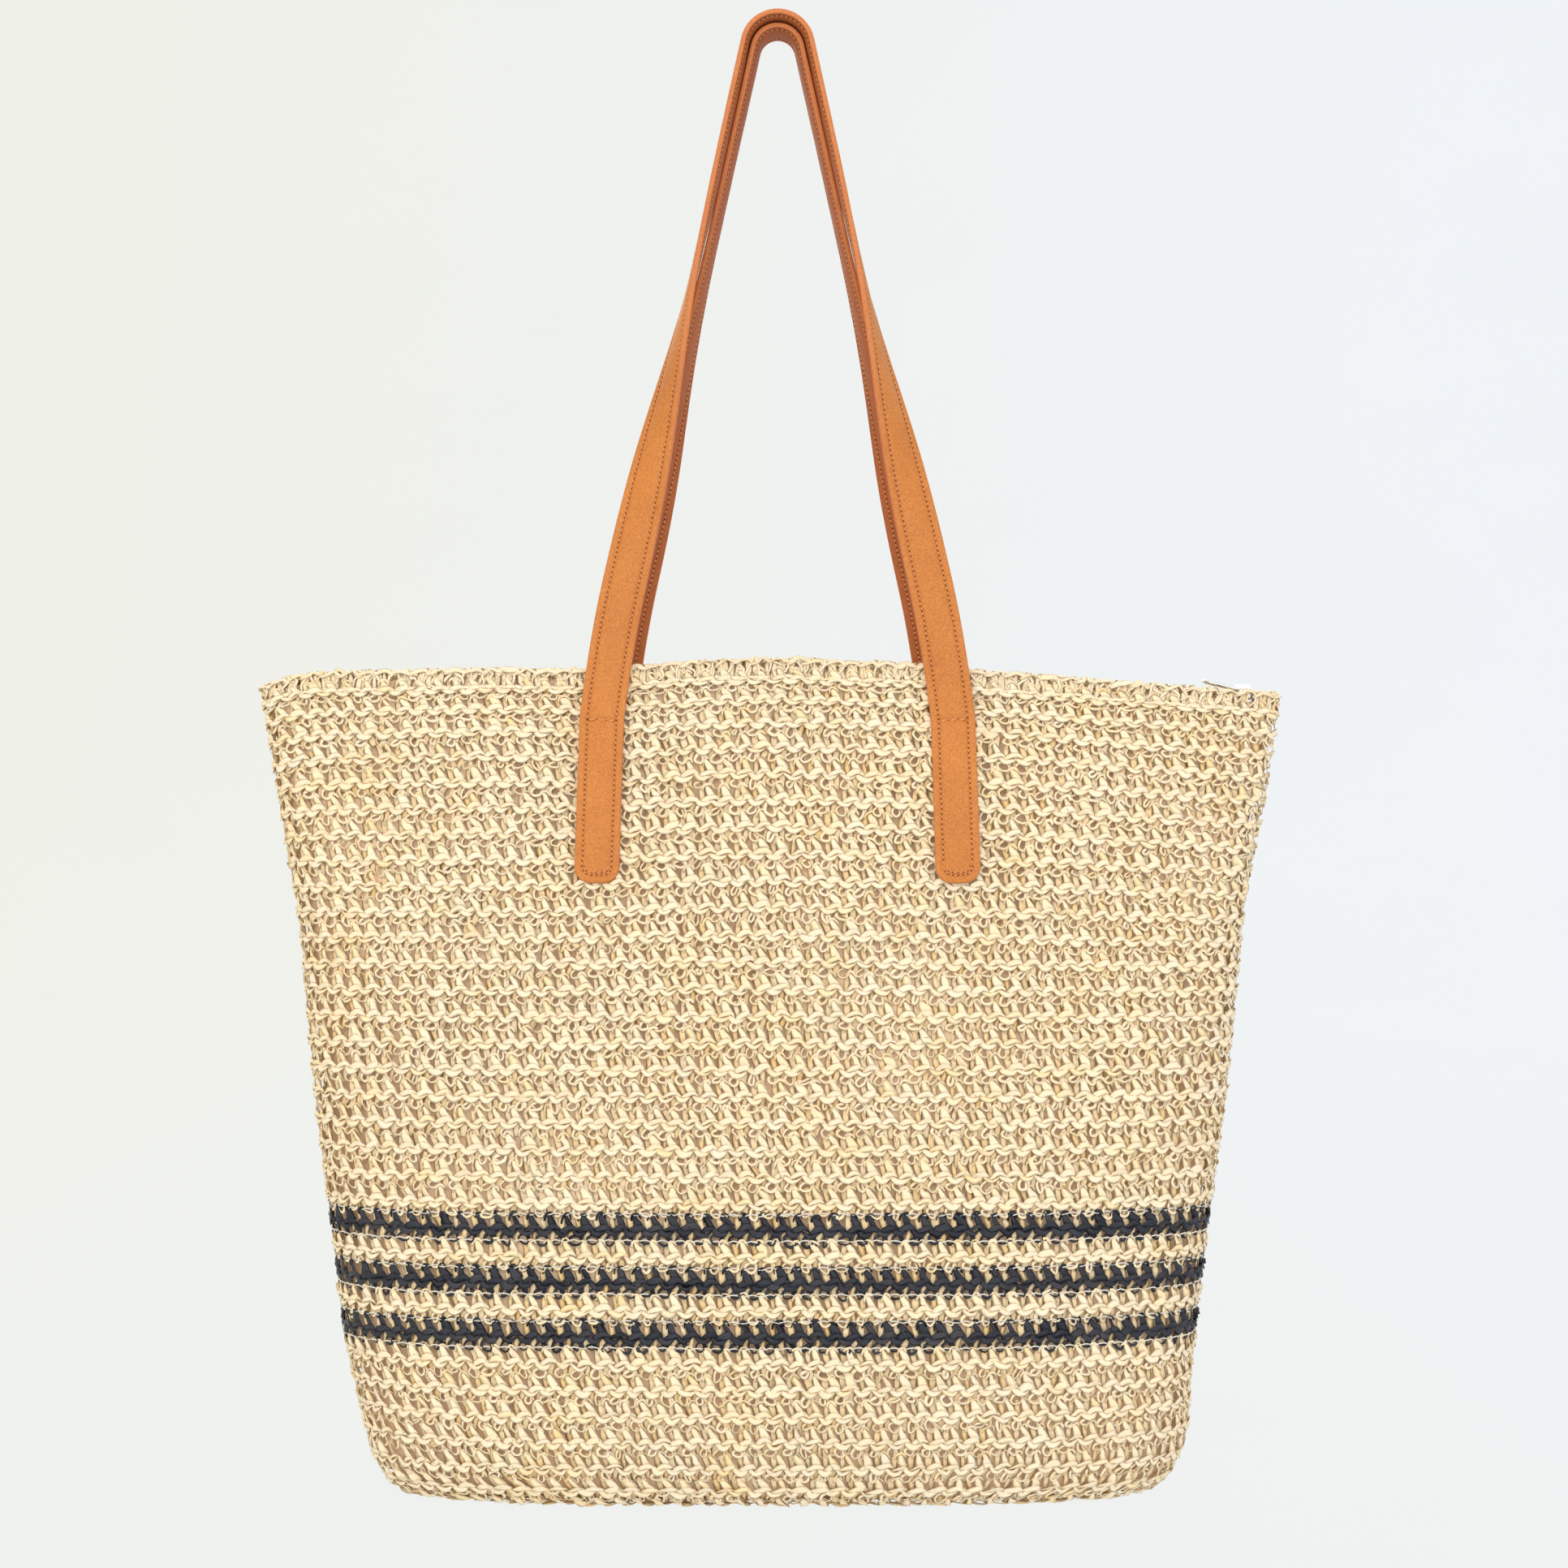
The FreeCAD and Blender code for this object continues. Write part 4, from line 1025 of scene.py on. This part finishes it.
def backdrop():
    """A pale floor that curves up into a round wall far from the object, so no horizon shows. It glows with
    painted light rather than taking the lamps' light, warm on the left and cool on the right.
    """
    flat, bend, high = 2.2, 1.6, 5.0
    turn = np.linspace(0, np.pi / 2, 25)
    profile = [(0.0, 0.0), (0.6, 0.0), (1.4, 0.0)]
    profile += [(flat + bend * math.sin(a), bend * (1 - math.cos(a))) for a in turn]
    profile.append((flat + bend, high))
    around = 96
    places = []
    for radius, level in profile:
        for k in range(around):
            angle = 2 * math.pi * k / around
            places.append((radius * math.cos(angle), radius * math.sin(angle), level - 0.0005))
    item, tree, shader = material("pale_plaster")
    mottle = texture(tree, "ShaderNodeTexNoise", Scale=5.0, Detail=6.0)
    parts = node(tree, "ShaderNodeSeparateXYZ")
    tree.links.new(node(tree, "ShaderNodeTexCoord").outputs["Object"], parts.inputs[0])
    # Painted light: the glow shifts from warm on the left to cool on the right, as if lit by a warm key and a
    # cool fill; the faint mottle is the wall's own.
    across = maths(tree, "MULTIPLY_ADD", parts.outputs[0], 0.5)
    painted_warm_cool_light = mixed(tree, across, (0.85, 0.855, 0.79), (0.855, 0.888, 0.92))
    plaster = mixed(tree, maths(tree, "MULTIPLY", mottle.outputs["Fac"], 0.08), painted_warm_cool_light, (0.7, 0.72, 0.72))
    tree.links.new(plaster, shader.inputs["Emission Color"])
    shader.inputs["Emission Strength"].default_value = 1.0
    shader.inputs["Base Color"].default_value = (0.02, 0.02, 0.02, 1)
    shader.inputs["Roughness"].default_value = 1.0
    shader.inputs["Specular IOR Level"].default_value = 0.0
    smooth_object("backdrop", places, grid_faces(len(profile), around, closed=True), item)


backdrop()


def area_light(name, place, target, size, power, colour):
    data = bpy.data.lights.new(name, "AREA")
    data.shape = "SQUARE"
    data.size = size
    data.energy = power
    data.color = colour
    made = linked(name, data)
    made.location = place
    made.rotation_euler = (Vector(target) - Vector(place)).to_track_quat("-Z", "Y").to_euler()


area_light("key", (-0.9, -2.7, 1.2), (0, 0, 0.3), 2.2, 33.0, (1.0, 0.94, 0.84))
area_light("fill", (1.1, -2.7, 0.45), (0, 0, 0.3), 2.2, 25.0, (0.94, 0.97, 1.0))
area_light("back", (-0.5, 2.6, 1.6), (0, 0, 0.3), 2.0, 22.0, (1.0, 0.98, 0.95))
world = bpy.data.worlds.new("studio")
bpy.context.scene.world = world
world.use_nodes = True
world.node_tree.nodes["Background"].inputs[0].default_value = (1.0, 0.98, 0.94, 1)
world.node_tree.nodes["Background"].inputs[1].default_value = 1.15

CAMERA_DISTANCE, FRAME_WIDTH = 1.4, 0.682
camera_data = bpy.data.cameras.new("camera")
camera_data.sensor_width = 36.0
camera_data.lens = 36.0 * CAMERA_DISTANCE / FRAME_WIDTH
camera = linked("camera", camera_data)
camera.location = (0.006, -CAMERA_DISTANCE, 0.3035)
camera.rotation_euler = (math.radians(90), 0, 0)
bpy.context.scene.camera = camera
bpy.context.scene.view_settings.view_transform = "Standard"
